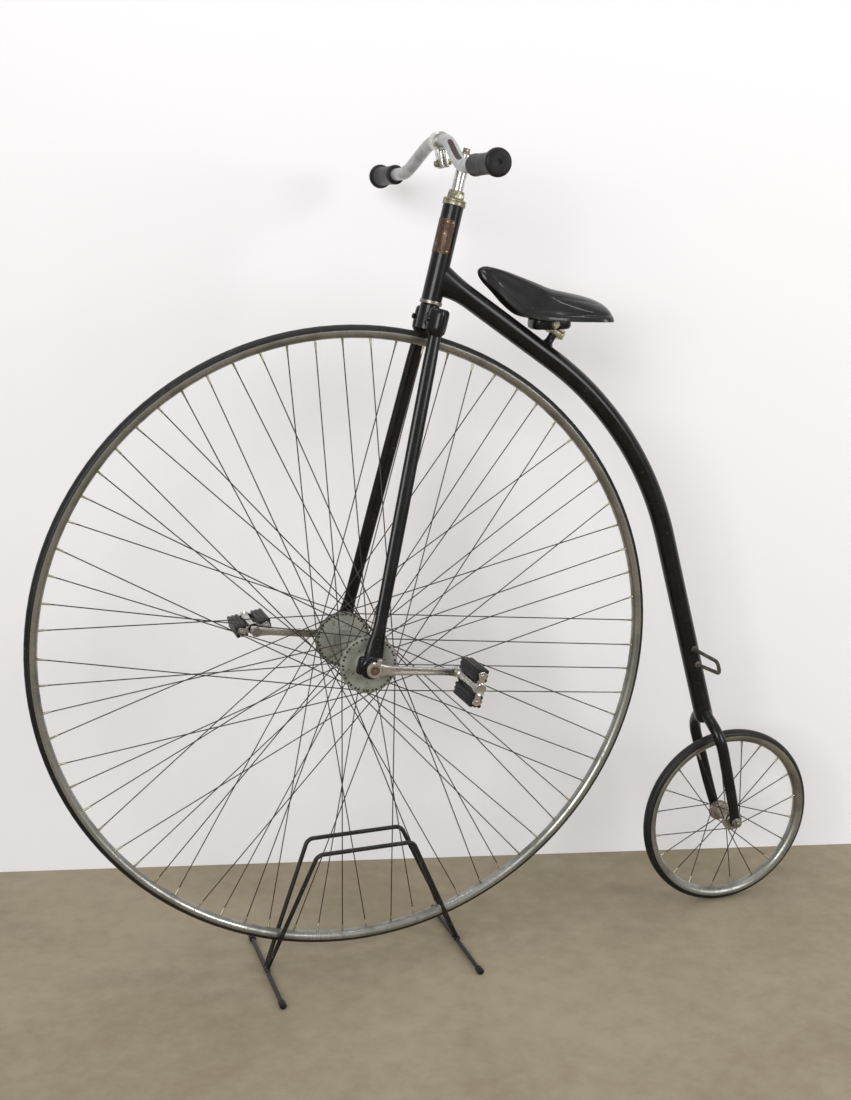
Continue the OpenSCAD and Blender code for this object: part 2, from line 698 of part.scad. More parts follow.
// Headset cup: a flange of height h and a spigot inside the head tube
module head_cup(s, h, up) {
    color(CHROME) steered() translate([0, 0, s]) rotate([up ? 0 : 180, 0, 0]) difference() {
        union() {
            cylinder(d = cup_d, h = h);
            translate([0, 0, -cup_spigot]) cylinder(r = head_bore_r - run_gap, h = cup_spigot + 1);
        }
        translate([0, 0, -cup_spigot - 1]) cylinder(r = steerer_r + run_gap, h = h + cup_spigot + 2);
    }
}
module head_plate() {
    color([0.25, 0.16, 0.12]) steered() translate([0, 0, head_s + plate_place])
        rotate([0, 0, 180 - plate_turn]) rotate_extrude(angle = 2 * plate_turn)
            translate([head_d / 2 + 0.02, 0]) square([1, plate_h]);
}
module backbone() {
    bend_rings = 22;
    places = concat([for (i = [0:6]) i * 15], [first_l * 0.7],
        [for (i = [0:bend_rings]) first_l + i / bend_rings * bend_l], [backbone_l]);
    path = [for (s = places) backbone_point(s)];
    tall = [for (s = places) backbone_r + flare * pow(max(0, 1 - s / 75), 2)];
    wide = [for (s = places) backbone_r - 2.5 * pow(max(0, 1 - s / 75), 2)];
    color(BLACK) difference() {
        swept(path, wide, tall, [0, 1, 0], 20);
        steered() translate([0, 0, head_s - 40]) cylinder(d = head_d - 1, h = head_l + 80);
    }
}
module step() {
    out = unit([0.18, -1, -0.06]);
    top = backbone_point(backbone_l - step_place);
    low = backbone_point(backbone_l - step_place + step_root_gap);
    inset = (step_root_gap - step_tip_gap) / 2 * unit(low - top);
    path = rounded([top + 10 * out, top + step_reach * out + inset,
        low + step_reach * out - inset, low + 10 * out], 9);
    color([0.3, 0.24, 0.2]) rod(path, step_rod_d / 2, cross(out, unit(low - top)), 12);
}

// Seat
module seat_post() {
    color(BLACK) difference() {
        bar(post_foot, post_top, post_d / 2);
        bar(post_foot - 200 * d_first, post_foot + 200 * d_first, backbone_r - 0.6);
    }
}
module saddle_clamp() {
    color(STEEL) translate(post_top) {
        rotate([0, backbone_slope, 0]) translate([-20, -13, -8]) cube([40, 26, 18]);
        translate([-0.62 * bracket_l, -bracket_w / 2, 8]) cube([bracket_l, bracket_w, clamp_h - 8]);
    }
}
// Saddle: rings of a loft from nose to tail
module saddle() {
    // columns: share of the length, half width share, top height, underside height
    rows = [[0, 0.05, 23, 18], [0.04, 0.15, 32.5, 10], [0.12, 0.22, 35.5, -2], [0.22, 0.28, 35, -17],
            [0.32, 0.35, 33.5, -30], [0.45, 0.48, 31, -34.5], [0.6, 0.71, 30, -27], [0.72, 0.89, 32, -18.5],
            [0.86, 1, 32, -8], [0.95, 0.88, 25, -2], [1, 0.3, 9, 2.5]];
    sides = 18;
    ring_at = [for (row = rows, k = [0:sides - 1]) let(w = 360 * k / sides, mid = (row[2] + row[3]) / 2,
            half = (row[2] - row[3]) / 2, c = cos(w), s = sin(w))
        [(row[0] - 0.653) * saddle_l, sign(c) * pow(abs(c), 0.8) * row[1] * saddle_w / 2,
         saddle_rise + mid + sign(s) * pow(abs(s), 0.8) * half]];
    last = len(rows) - 1;
    color(BLACK) translate(post_top) rotate([0, saddle_tilt, 0])
        polyhedron(points = ring_at, faces = concat([[for (k = [0:sides - 1]) k]],
            [for (i = [0:last - 1], k = [0:sides - 1]) let(n = (k + 1) % sides)
                [i * sides + n, i * sides + k, (i + 1) * sides + k, (i + 1) * sides + n]],
            [[for (k = [sides - 1:-1:0]) last * sides + k]]));
}
saddle_rise = clamp_h + 23;

// Rear fork and wheel
module rear_fork(side) {
    down = -[-sin(tail_lean), 0, cos(tail_lean)];
    drop = dropout_gap / 2;
    fall = norm(backbone_end - rear_axle_at);
    // columns: place across the bicycle, distance down from the backbone's end
    rows = [[7, -16], [18, -6], [31, 6], [44, 19], [54, 33], [rear_shoulder / 2, 50],
            [rear_shoulder / 2 + 1, 72], [drop + 0.85 * (rear_shoulder / 2 - drop), fall * 0.6],
            [drop + 0.5 * (rear_shoulder / 2 - drop), fall * 0.8], [drop, fall]];
    path = [for (row = rows) backbone_end + row[1] * down + [0, side * row[0], 0]];
    round_r = [for (i = [0:len(rows) - 1]) rear_leg_d / 2 * [0.9, 1, 1, 1, 1, 1, 1, 1, 0.95, 0.9][i]];
    thin_r = [for (i = [0:len(rows) - 1]) rear_leg_d / 2 * [0.9, 0.95, 0.95, 0.9, 0.85, 0.8, 0.75, 0.65, 0.55, 0.4][i]];
    color(BLACK) difference() {
        union() {
            swept(path, round_r, thin_r, [1, 0, 0], 16);
            translate(rear_axle_at) across_bar(side, drop - 5, drop + 5, rear_leg_d / 2);
        }
        translate(rear_axle_at) across_bar(side, drop - 10, drop + 10, rear_axle_d / 2 + run_gap);
    }
}
module rear_axle() {
    drop = dropout_gap / 2;
    color(STEEL) translate(rear_axle_at) {
        across_bar(RIGHT, -drop - 19, drop + 19, rear_axle_d / 2);
        for (side = [LEFT, RIGHT]) {
            across_bar(side, drop + 5, drop + 7, 11);
            rotate([90, 0, 0]) translate([0, 0, side == LEFT ? drop + 7 : -drop - 14])
                cylinder(d = 19, h = 7, $fn = 6);
        }
    }
}
module rear_hub() {
    color(ZINC) on_axle(rear_axle_at) difference() {
        union() {
            cylinder(d = rear_barrel_d, h = rear_hub_w, center = true);
            for (x = [-1, 1]) translate([0, 0, x * (rear_hub_w - rear_flange_t) / 2])
                cylinder(d = rear_flange_d, h = rear_flange_t, center = true);
        }
        cylinder(r = rear_axle_d / 2 + run_gap, h = 2 * rear_hub_w, center = true);
    }
}
module rear_wheel_spokes() {
    pitch = 720 / rear_spokes;
    color(STEEL) for (side = [LEFT, RIGHT])
        spokes(side, rear_axle_at, rear_spokes / 2, side == LEFT ? 8 : 8 + pitch / 2, 66,
            rear_flange_holes_d / 2, (rear_hub_w - rear_flange_t) / 2,
            rim_inner(rear_core_r, rear_tyre_r) + rim_wall, rear_spoke_d / 2, 4);
}
module rear_rim() { color(STEEL) on_axle(rear_axle_at) rim(rear_core_r, rear_tyre_r); }
module rear_tyre() { color(RUBBER) on_axle(rear_axle_at) tyre(rear_core_r, rear_tyre_r); }

front_tyre();
front_rim();
front_spokes(LEFT);  // front_spokes_left
front_spokes(RIGHT);  // front_spokes_right
front_hub();
crank_spindle();
crank(LEFT);  // crank_left
crank(RIGHT);  // crank_right
crank_cotters();
pedal_pin(LEFT);  // pedal_pin_left
pedal_pin(RIGHT);  // pedal_pin_right
pedal_cage(LEFT);  // pedal_cage_left
pedal_blocks(LEFT);  // pedal_blocks_left
pedal_cage(RIGHT);  // pedal_cage_right
pedal_blocks(RIGHT);  // pedal_blocks_right
fork_crown();
fork_leg(LEFT);  // fork_leg_left
fork_leg(RIGHT);  // fork_leg_right
axle_housing(LEFT);  // axle_housing_left
axle_housing(RIGHT);  // axle_housing_right
steerer();
head_lock_nut();
stem();
stem_bolt();
clamp_bolt();
handlebar();
grip(LEFT);  // grip_left
grip(RIGHT);  // grip_right
stand_hoop(LEFT);  // stand_hoop_left
stand_hoop(RIGHT);  // stand_hoop_right
stand_foot(-1);  // stand_foot_front
stand_foot(1);  // stand_foot_rear
stand_caps();
head_tube();
head_cup(head_s, lower_cup_h, false);  // head_cup_lower
head_cup(head_top, upper_cup_h, true);  // head_cup_upper
head_plate();
backbone();
seat_post();
saddle_clamp();
saddle();
step();
rear_fork(LEFT);  // rear_fork_left
rear_fork(RIGHT);  // rear_fork_right
rear_axle();
rear_hub();
rear_wheel_spokes();  // rear_spokes
rear_rim();
rear_tyre();
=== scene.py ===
"""Looks of a penny farthing in its rod stand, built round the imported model.

Lengths in the shape functions are millimetres, in the row's frame: +X to the rear of the
bicycle, +Y to its right, +Z up. They become metres when a shape is made into a piece.
"""
import math

import bmesh
import bpy
import numpy as np
from mathutils import Matrix, Vector


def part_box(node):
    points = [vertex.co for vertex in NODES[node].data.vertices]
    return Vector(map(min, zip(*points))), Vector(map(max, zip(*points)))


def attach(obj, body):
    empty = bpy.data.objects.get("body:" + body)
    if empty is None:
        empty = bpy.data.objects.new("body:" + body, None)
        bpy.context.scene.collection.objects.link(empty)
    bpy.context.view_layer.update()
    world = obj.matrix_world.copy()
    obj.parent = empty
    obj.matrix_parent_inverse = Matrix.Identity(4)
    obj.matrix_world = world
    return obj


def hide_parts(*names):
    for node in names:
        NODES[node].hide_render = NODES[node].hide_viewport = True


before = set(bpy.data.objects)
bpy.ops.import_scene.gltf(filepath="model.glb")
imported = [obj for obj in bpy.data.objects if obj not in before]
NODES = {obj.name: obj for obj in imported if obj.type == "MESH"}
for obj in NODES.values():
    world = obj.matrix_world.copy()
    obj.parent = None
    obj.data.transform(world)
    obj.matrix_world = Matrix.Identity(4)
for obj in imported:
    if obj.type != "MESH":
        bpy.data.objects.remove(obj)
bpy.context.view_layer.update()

# ---------------------------------------------------------------- places on the bicycle


def box(node):
    """Lowest and highest corner of a CAD node, in millimetres."""
    lo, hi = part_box(node)
    return np.array(lo) * 1000, np.array(hi) * 1000


def middle(node):
    lo, hi = box(node)
    return (lo + hi) / 2


HUB = middle("front_tyre")
REAR = middle("rear_tyre")
GROUND = np.array([HUB[0], 0, HUB[2]])  # the saddle's sizes are counted from the hub
FRONT_R, FRONT_TYRE = 625.0, 11.0
REAR_R, REAR_TYRE = 202.5, 12.5
RAKE = math.radians(14.9)
OFFSET = 12.0
# heights up the steering head, from the front axle
CROWN_S, CROWN_TOP = 632.0, 677.0
HEAD_S, HEAD_TOP = 684.3, 858.3
NUT_S, STEER_TOP, CLAMP_S = 871.6, 885.6, 959.6
STEERER_R = 12.75
# fork legs: places in the crown, at the knee and at the axle
SOCKET_X, SOCKET_Y, LEG_TOP = 7.2, 42.0, 646.0
KNEE_Y, KNEE_UP, FOOT_Y, FOOT_UP = 111.5, 70.0, 115.0, 13.0
# handlebar
REACH, DROP, BAR_W, BAR_R = 55.0, 52.0, 694.0, 11.5
GRIP_BORE = 11.55
# cranks, housings and pedals, measured out from the middle plane
SLOPE = math.radians(7.15)
CRANK = 170.0
CRANK_IN, CRANK_OUT = 130.0, 143.0
HOUSING_IN, HOUSING_OUT = 103.0, 127.0
PEDAL_IN, PEDAL_OUT = 155.0, 255.0
SPINDLE_BORE, PIN_BORE, AXLE_BORE = 8.05, 6.05, 5.05
# backbone, rear fork and what they carry
DROPOUT = 45.0
FIRST, TAIL = math.radians(34.9), math.radians(74.6)
POST_RUN = 258.0
STEP_TOP, STEP_LOW, STEP_OUT = 168.0, 131.0, 96.0
PLATE_UP, PLATE_H, PLATE_HALF = 86.0, 62.0, math.radians(105)
# stand
HOOP_R, HOOP_FOOT_X, HOOP_TOP_X, HOOP_FOOT_Y, HOOP_RISE = 4.5, 206.0, 100.0, 7.5, 258.0
FOOT_HALF = 160.0


def steer(p):
    """Points given along the steering head (x back, y right, z up the axis) in the row's frame."""
    p = np.asarray(p, float)
    x, z = p[..., 0] - OFFSET, p[..., 2]
    c, s = math.cos(RAKE), math.sin(RAKE)
    return np.stack([HUB[0] + x * c + z * s, p[..., 1] + 0 * x, HUB[2] + z * c - x * s], -1)


AXIS = steer([0, 0, 1]) - steer([0, 0, 0])
BACK = steer([1, 0, 0]) - steer([0, 0, 0])
X, Y, Z = np.eye(3)


def hand(side):
    return "left" if side < 0 else "right"


def rise(t):
    """Smooth step: 3t^2 - 2t^3 between 0 and 1."""
    t = np.clip(t, 0, 1)
    return t * t * (3 - 2 * t)


def unit(v):
    v = np.asarray(v, float)
    return v / np.linalg.norm(v, axis=-1, keepdims=True)


# ---------------------------------------------------------------- surfaces


class Shape:
    """A mesh gathered from surfaces, each a grid of points; faces point outwards where a
    row's points turn anticlockwise as seen from the next rows."""

    def __init__(self):
        self.points, self.quads, self.caps, self.count = [], [], [], 0

    def tubes(self, P, ends=(True, True)):
        """P is tubes x rings x sides x 3. Rings close on themselves, and are joined in turn."""
        P = np.asarray(P, float)
        if P.ndim == 3:
            P = P[None]
        n, rings, sides, _ = P.shape
        index = self.count + np.arange(n * rings * sides).reshape(n, rings, sides)
        nxt = np.roll(index, -1, axis=2)
        faces = np.stack([index[:, :-1], nxt[:, :-1], nxt[:, 1:], index[:, 1:]], -1)
        self.quads.append(faces.reshape(-1, 4))
        if ends[0]:
            self.caps += [list(row) for row in index[:, 0, ::-1]]
        if ends[1]:
            self.caps += [list(row) for row in index[:, -1]]
        self.points.append(P.reshape(-1, 3))
        self.count += n * rings * sides
        return self

    def spun(self, rows, centre, axis, sides, **how):
        """A turned shape without end faces."""
        return self.tubes(lathe(rows, centre, axis, sides, **how), (False, False))

    def ring(self, rows, centre, axis, sides, **how):
        """A turned shape whose profile closes on itself, as a drilled part's does."""
        return self.spun(rows + rows[:1], centre, axis, sides, **how)

    def button(self, r, height, centre, axis, sides=24, rows=5):
        """Low dome: radius r falls as a quarter ellipse over its height."""
        a = np.linspace(0, np.pi / 2, rows)
        arc = [(r * math.cos(x), height * math.sin(x)) for x in a]
        return self.spun([(0, 0)] + arc, centre, axis, sides)

    def piece(self, name, body, slot, material, crease=32, replaces=(), weld=True):
        mesh = bpy.data.meshes.new(name)
        points = np.concatenate(self.points) / 1000
        faces = np.concatenate(self.quads).tolist() + self.caps
        mesh.from_pydata(points.tolist(), [], faces)
        if weld:
            work = bmesh.new()
            work.from_mesh(mesh)
            bmesh.ops.remove_doubles(work, verts=work.verts, dist=1e-6)
            bmesh.ops.dissolve_degenerate(work, edges=work.edges, dist=1e-7)
            work.to_mesh(mesh)
            work.free()
        mesh.validate()
        mesh.polygons.foreach_set("use_smooth", [True] * len(mesh.polygons))
        mesh.set_sharp_from_angle(angle=math.radians(crease))
        mesh.materials.append(material)
        mesh.update()
        made = bpy.data.objects.new(name, mesh)
        bpy.context.scene.collection.objects.link(made)
        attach(made, body)
        if replaces:
            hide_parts(*replaces)
        return made


def across(t):
    """Two directions square to t and to each other, the first as near to +Y as it can be."""
    ref = np.where(np.abs(t[..., 1:2]) > 0.9, np.array([1.0, 0, 0]), Y)
    u = unit(ref - np.sum(ref * t, -1, keepdims=True) * t)
    return u, np.cross(t, u)


def sweep(path, a, b, ref=None, sides=32, power=2.0, below=None):
    """Rings along a path: a superellipse |x/a|^power + |y/b|^power = 1 square to the path,
    with a along ref and b along path x ref; below, where given, is b on the negative side."""
    path = np.asarray(path, float)
    t = unit(np.gradient(path, axis=0))
    if ref is None:
        u, v = across(t)
    else:
        ref = np.asarray(ref, float)
        u = unit(ref - np.sum(ref * t, -1, keepdims=True) * t)
        v = np.cross(t, u)
    w = np.arange(sides) * 2 * np.pi / sides
    c = np.sign(np.cos(w)) * np.abs(np.cos(w)) ** (2 / power)
    s = np.sign(np.sin(w)) * np.abs(np.sin(w)) ** (2 / power)
    c, s = c[None, :, None], s[None, :, None]
    below = b if below is None else below
    a, b, down = (np.broadcast_to(np.asarray(x, float), len(path))[:, None, None]
                  for x in (a, b, below))
    side = np.where(s < 0, down, b)
    return path[:, None] + a * c * u[:, None] + side * s * v[:, None]


def along(h, *rows):
    """Rows of a turned profile, moved by h along its axis."""
    return [(row[0], row[1] + h, *row[2:]) for row in rows]


def lathe(profile, centre, axis, sides=48, corners=0, phase=0.0, wobble=None):
    """Rings of a turned shape: row (r, h) or (r, h, k) is a ring of radius r at h along the
    axis. With corners, a ring where k > 0 is a polygon of that corner radius clipped at k."""
    axis = unit(axis)
    u, v = across(axis[None])
    u, v = u[0], v[0]
    w = np.arange(sides) * 2 * np.pi / sides
    rings = []
    for row in profile:
        r = np.full(sides, float(row[0]))
        if corners and len(row) > 2 and row[2]:
            step = 2 * np.pi / corners
            flat = row[0] * math.cos(step / 2)
            r = np.minimum(flat / np.cos((w + phase) % step - step / 2), row[2])
        if wobble is not None:
            r = wobble(r, w, row)
        rings.append(np.asarray(centre, float) + row[1] * axis
                     + r[:, None] * (np.cos(w)[:, None] * u + np.sin(w)[:, None] * v))
    return np.array(rings)


def nut(corner_r, height, centre, axis, phase=0.0, corners=6):
    """Chamfered hexagon along the axis from the centre."""
    flat = corner_r * math.cos(math.pi / corners)
    rows = [(0, 0), (flat * 0.98, 0), (corner_r, height * 0.14, corner_r * 0.995),
            (corner_r, height * 0.84, corner_r * 0.995), (flat * 0.97, height), (0, height)]
    return lathe(rows, centre, axis, 48, corners, phase)


def ball_ends(path, r, steps=4):
    """A path and its radii, lengthened by quarter circles so that a rod ends round."""
    path = np.asarray(path, float)
    first, last = unit(path[0] - path[1]), unit(path[-1] - path[-2])
    a = np.linspace(np.pi / 2, 0, steps + 1)[:-1]
    head = path[0] - first * r + first * r * np.sin(a)[:, None]
    tail = (path[-1] - last * r + last * r * np.sin(a)[:, None])[::-1]
    radii = np.concatenate([r * np.cos(a), np.full(len(path), r), (r * np.cos(a))[::-1]])
    return np.concatenate([head, path, tail]), np.maximum(radii, 0.02)


def rounded(points, r, steps=7):
    """Path through corner points, each corner turned into an arc of radius r."""
    points = np.asarray(points, float)
    out = [points[0]]
    for p, q, w in zip(points[:-2], points[1:-1], points[2:]):
        a, b = unit(p - q), unit(w - q)
        half = math.acos(np.clip(a @ b, -1, 1)) / 2
        mid = q + unit(a + b) * r / math.sin(half)
        start, stop = q + a * r / math.tan(half) - mid, q + b * r / math.tan(half) - mid
        turn = math.pi - 2 * half
        for i in range(steps + 1):
            t = i / steps
            arc = start * math.sin((1 - t) * turn) + stop * math.sin(t * turn)
            out.append(mid + arc / math.sin(turn))
    out.append(points[-1])
    return np.array(out)


def between(a, b, n):
    """n points from a to b on a straight line."""
    return np.linspace(np.asarray(a, float), np.asarray(b, float), n)


def fine(path, gap=12.0):
    """The same path with points no further apart than the gap."""
    out = [path[:1]]
    for p, q in zip(path[:-1], path[1:]):
        out.append(between(p, q, max(2, int(np.linalg.norm(q - p) / gap) + 1))[1:])
    return np.concatenate(out)


def hermite(rows, t):
    """Smooth curve through the rows at t = 0, 1, 2 and so on: a cubic between each two, with
    (2f^3 - 3f^2 + 1), (3f^2 - 2f^3) on the rows and (f^3 - 2f^2 + f), (f^3 - f^2) on slopes."""
    k = np.minimum(t.astype(int), len(rows) - 2)
    f = (t - k)[:, None]
    m = np.gradient(rows, axis=0)
    return ((2 * f ** 3 - 3 * f ** 2 + 1) * rows[k] + (f ** 3 - 2 * f ** 2 + f) * m[k]
            + (3 * f ** 2 - 2 * f ** 3) * rows[k + 1] + (f ** 3 - f ** 2) * m[k + 1])


def band_plate(path, ref, angle, half, outer, inner, n=24, lip=0.0):
    """Thin curved plate on a tube. Each ring runs along an arc of the outer radius and back
    along the inner one; half is the arc's half angle at each point of the path, and lip is
    how much the plate's border stands up."""
    path = np.asarray(path, float)
    t = unit(np.gradient(path, axis=0))
    ref = np.asarray(ref, float)
    u = unit(ref - np.sum(ref * t, -1, keepdims=True) * t)
    v = np.cross(t, u)
    a = np.linspace(-1, 1, n)
    half = np.broadcast_to(half, len(path))[:, None]
    theta = angle + half * a[None]
    run = np.concatenate([[0], np.cumsum(np.linalg.norm(np.diff(path, axis=0), axis=1))])
    edge = np.minimum(np.minimum(run, run[-1] - run)[:, None], (1 - np.abs(a))[None] * half * outer)
    r = outer + lip * np.exp(-((edge - 1.5) / 0.8) ** 2)

    def spoke(th):
        return np.cos(th)[..., None] * u[:, None] + np.sin(th)[..., None] * v[:, None]

    top = path[:, None] + r[..., None] * spoke(theta)
    return np.concatenate([top, path[:, None] + inner * spoke(theta[:, ::-1])], 1)


def slab(centre, axes, half, edge=1.0, steps=3, corner=None):
    """Block with rounded edges: rounded rectangles of half sizes half[0] x half[1], carried
    along axes[2] from -half[2] to half[2]. The edge radius rounds both ends."""
    corner = edge if corner is None else corner
    ax = [unit(a) for a in axes]
    a = np.linspace(0, np.pi / 2, steps + 1)
    rows = [(edge * (1 - math.sin(t)), -half[2] + edge * (1 - math.cos(t))) for t in a]
    rows += [(i, -h) for i, h in rows[::-1]]
    rings = []
    for inset, h in rows:
        pts = []
        x, y, c = half[0] - inset, half[1] - inset, max(corner - inset, 0.05)
        for sx, sy, a0 in ((1, 1, 0), (-1, 1, 90), (-1, -1, 180), (1, -1, 270)):
            t = np.radians(a0 + np.linspace(0, 90, 5))
            pts.append(np.stack([sx * (x - c) + c * np.cos(t), sy * (y - c) + c * np.sin(t)], -1))
        pts = np.concatenate(pts)
        rings.append(centre + pts[:, :1] * ax[0] + pts[:, 1:] * ax[1] + h * ax[2])
    return np.array(rings)


# ---------------------------------------------------------------- shader groups and finishes


def group(name, ins, outs):
    """New shader node group; returns it and its in and out nodes."""
    g = bpy.data.node_groups.new(name, "ShaderNodeTree")
    for n, kind, value in ins:
        s = g.interface.new_socket(name=n, in_out="INPUT", socket_type=kind)
        if value is not None:
            s.default_value = value
    for n, kind in outs:
        g.interface.new_socket(name=n, in_out="OUTPUT", socket_type=kind)
    return g, g.nodes.new("NodeGroupInput"), g.nodes.new("NodeGroupOutput")


F, V = "NodeSocketFloat", "NodeSocketVector"


def math_node(tree, how, a, b=None, clamp=False):
    n = tree.nodes.new("ShaderNodeMath")
    n.operation, n.use_clamp = how, clamp
    for i, x in enumerate((a, b)):
        if x is None:
            continue
        if isinstance(x, (int, float)):
            n.inputs[i].default_value = x
        else:
            tree.links.new(x, n.inputs[i])
    return n.outputs[0]


def band(tree, value, low, high):
    """Value mapped smoothly from 0 at low to 1 at high."""
    n = tree.nodes.new("ShaderNodeMapRange")
    n.interpolation_type = "SMOOTHSTEP"
    n.inputs["From Min"].default_value, n.inputs["From Max"].default_value = low, high
    tree.links.new(value, n.inputs["Value"])
    return n.outputs["Result"]


def noise(tree, place, scale, detail=4.0, rough=0.55):
    n = tree.nodes.new("ShaderNodeTexNoise")
    n.inputs["Scale"].default_value = scale
    n.inputs["Detail"].default_value = detail
    n.inputs["Roughness"].default_value = rough
    tree.links.new(place, n.inputs["Vector"])
    return n.outputs["Fac"]


def spots_group():
    """Spots: 1 inside small scattered patches of noise, gathered where a slower noise is high."""
    ins = [("Place", V, None), ("Scale", F, 300.0), ("Cover", F, 0.5)]
    g, i, o = group("scattered_spots", ins, [("Mask", F)])
    small = g.nodes.new("ShaderNodeTexNoise")
    small.inputs["Detail"].default_value = 3.0
    g.links.new(i.outputs["Place"], small.inputs["Vector"])
    g.links.new(i.outputs["Scale"], small.inputs["Scale"])
    slow = g.nodes.new("ShaderNodeTexNoise")
    g.links.new(i.outputs["Place"], slow.inputs["Vector"])
    g.links.new(math_node(g, "MULTIPLY", i.outputs["Scale"], 0.13), slow.inputs["Scale"])
    both = math_node(g, "ADD", math_node(g, "MULTIPLY", small.outputs["Fac"], 0.6),
                     math_node(g, "MULTIPLY", slow.outputs["Fac"], 0.4))
    bare = math_node(g, "SUBTRACT", 1.0, i.outputs["Cover"])
    level = math_node(g, "SUBTRACT", both, bare)
    g.links.new(math_node(g, "MULTIPLY", level, 14.0, clamp=True), o.inputs["Mask"])
    return g


def settle_group():
    """Dust: the share of a surface that faces up, broken by noise."""
    g, i, o = group("settled_dust", [("Place", V, None), ("Amount", F, 0.5)], [("Mask", F)])
    up = g.nodes.new("ShaderNodeSeparateXYZ")
    g.links.new(g.nodes.new("ShaderNodeNewGeometry").outputs["Normal"], up.inputs[0])
    n = noise(g, i.outputs["Place"], 90.0, 5.0, 0.65)
    top = math_node(g, "MULTIPLY", band(g, up.outputs["Z"], 0.1, 1.0), n)
    mask = math_node(g, "MULTIPLY", top, i.outputs["Amount"], clamp=True)
    g.links.new(mask, o.inputs["Mask"])
    return g


SPOTS, DUST = spots_group(), settle_group()


class Finish:
    """A material: one Principled shader, with helpers that layer colours and masks on it."""

    def __init__(self, name, color, metallic=0.0, rough=0.5, coat=0.0, coat_rough=0.1, shine=0.5):
        self.made = bpy.data.materials.new(name)
        self.made.use_nodes = True
        self.tree = self.made.node_tree
        self.shader = self.tree.nodes["Principled BSDF"]
        for key, value in {"Base Color": (*color, 1), "Metallic": metallic, "Roughness": rough,
                           "Coat Weight": coat, "Coat Roughness": coat_rough,
                           "Specular IOR Level": shine}.items():
            self.shader.inputs[key].default_value = value
        self.place = self.tree.nodes.new("ShaderNodeTexCoord").outputs["Object"]
        self.base, self.metal, self.matte = color, metallic, rough
        self.color_out = self.metal_out = self.rough_out = None
        self.height = None

    def noise(self, scale, detail=4.0, rough=0.55):
        return noise(self.tree, self.place, scale, detail, rough)

    def _mask(self, made, **values):
        n = self.tree.nodes.new("ShaderNodeGroup")
        n.node_tree = made
        for key, value in values.items():
            n.inputs[key].default_value = value
        self.tree.links.new(self.place, n.inputs["Place"])
        return n.outputs["Mask"]

    def cloud(self, scale, detail, low, high, color, rough, metallic=None, grain=0.55):
        """A second tone where slow noise is high."""
        mask = band(self.tree, self.noise(scale, detail, grain), low, high)
        return self.mix(mask, color, metallic, rough)

    def fleck(self, scale, cover, color, rough, metallic=None):
        """Small scattered spots."""
        return self.mix(self._mask(SPOTS, Scale=scale, Cover=cover), color, metallic, rough)

    def powder(self, amount, color, rough):
        """Dust on what faces up."""
        return self.mix(self._mask(DUST, Amount=amount), color, None, rough)

    def grain(self, scale, detail, strength, distance, rough=0.55):
        """Fine relief."""
        return self.bump(self.noise(scale, detail, rough), strength, distance)

    def mix(self, mask, color=None, metallic=None, rough=None):
        """Where mask is 1 the surface takes these values."""
        if color is not None:
            n = self.tree.nodes.new("ShaderNodeMix")
            n.data_type = "RGBA"
            if self.color_out is None:
                n.inputs[6].default_value = (*self.base, 1)
            else:
                self.tree.links.new(self.color_out, n.inputs[6])
            n.inputs[7].default_value = (*color, 1)
            self.tree.links.new(mask, n.inputs[0])
            self.color_out = n.outputs[2]
        if rough is not None:
            self.rough_out = self._level(mask, self.rough_out, self.matte, rough)
        if metallic is not None:
            self.metal_out = self._level(mask, self.metal_out, self.metal, metallic)
        return self

    def _level(self, mask, before, plain, value):
        n = self.tree.nodes.new("ShaderNodeMix")
        n.data_type = "FLOAT"
        if before is None:
            n.inputs[2].default_value = plain
        else:
            self.tree.links.new(before, n.inputs[2])
        n.inputs[3].default_value = value
        self.tree.links.new(mask, n.inputs[0])
        return n.outputs[0]

    def bump(self, height, strength, distance):
        b = self.tree.nodes.new("ShaderNodeBump")
        b.inputs["Strength"].default_value, b.inputs["Distance"].default_value = strength, distance
        self.tree.links.new(height, b.inputs["Height"])
        if self.height is not None:
            self.tree.links.new(self.height, b.inputs["Normal"])
        self.height = b.outputs["Normal"]
        return self

    def done(self):
        for out, name in ((self.color_out, "Base Color"), (self.metal_out, "Metallic"),
                          (self.rough_out, "Roughness"), (self.height, "Normal")):
            if out is not None:
                self.tree.links.new(out, self.shader.inputs[name])
        return self.made


# black stove enamel: deep gloss, brush waves, grey scuffs and dust on top
ENAMEL = (Finish("black_enamel", (0.004, 0.004, 0.0047), 0.0, 0.24, 0.16, 0.07, 0.22)
          .cloud(26, 4, 0.35, 0.75, (0.007, 0.0068, 0.0078), 0.34)
          .fleck(420, 0.38, (0.06, 0.05, 0.042), 0.6)
          .powder(0.1, (0.08, 0.076, 0.072), 0.5)
          .grain(55, 3, 0.06, 0.002).grain(900, 2, 0.05, 0.0002).done())
# black paint on drawn rod: satin, worn grey-brown where it has been handled
STAND = (Finish("stand_paint", (0.006, 0.006, 0.0065), rough=0.36, coat=0.1, shine=0.3)
         .cloud(34, 5, 0.42, 0.72, (0.014, 0.013, 0.0125), 0.46)
         .fleck(300, 0.42, (0.08, 0.062, 0.048), 0.7)
         .powder(0.18, (0.1, 0.092, 0.08), 0.6).grain(500, 4, 0.12, 0.0004).done())
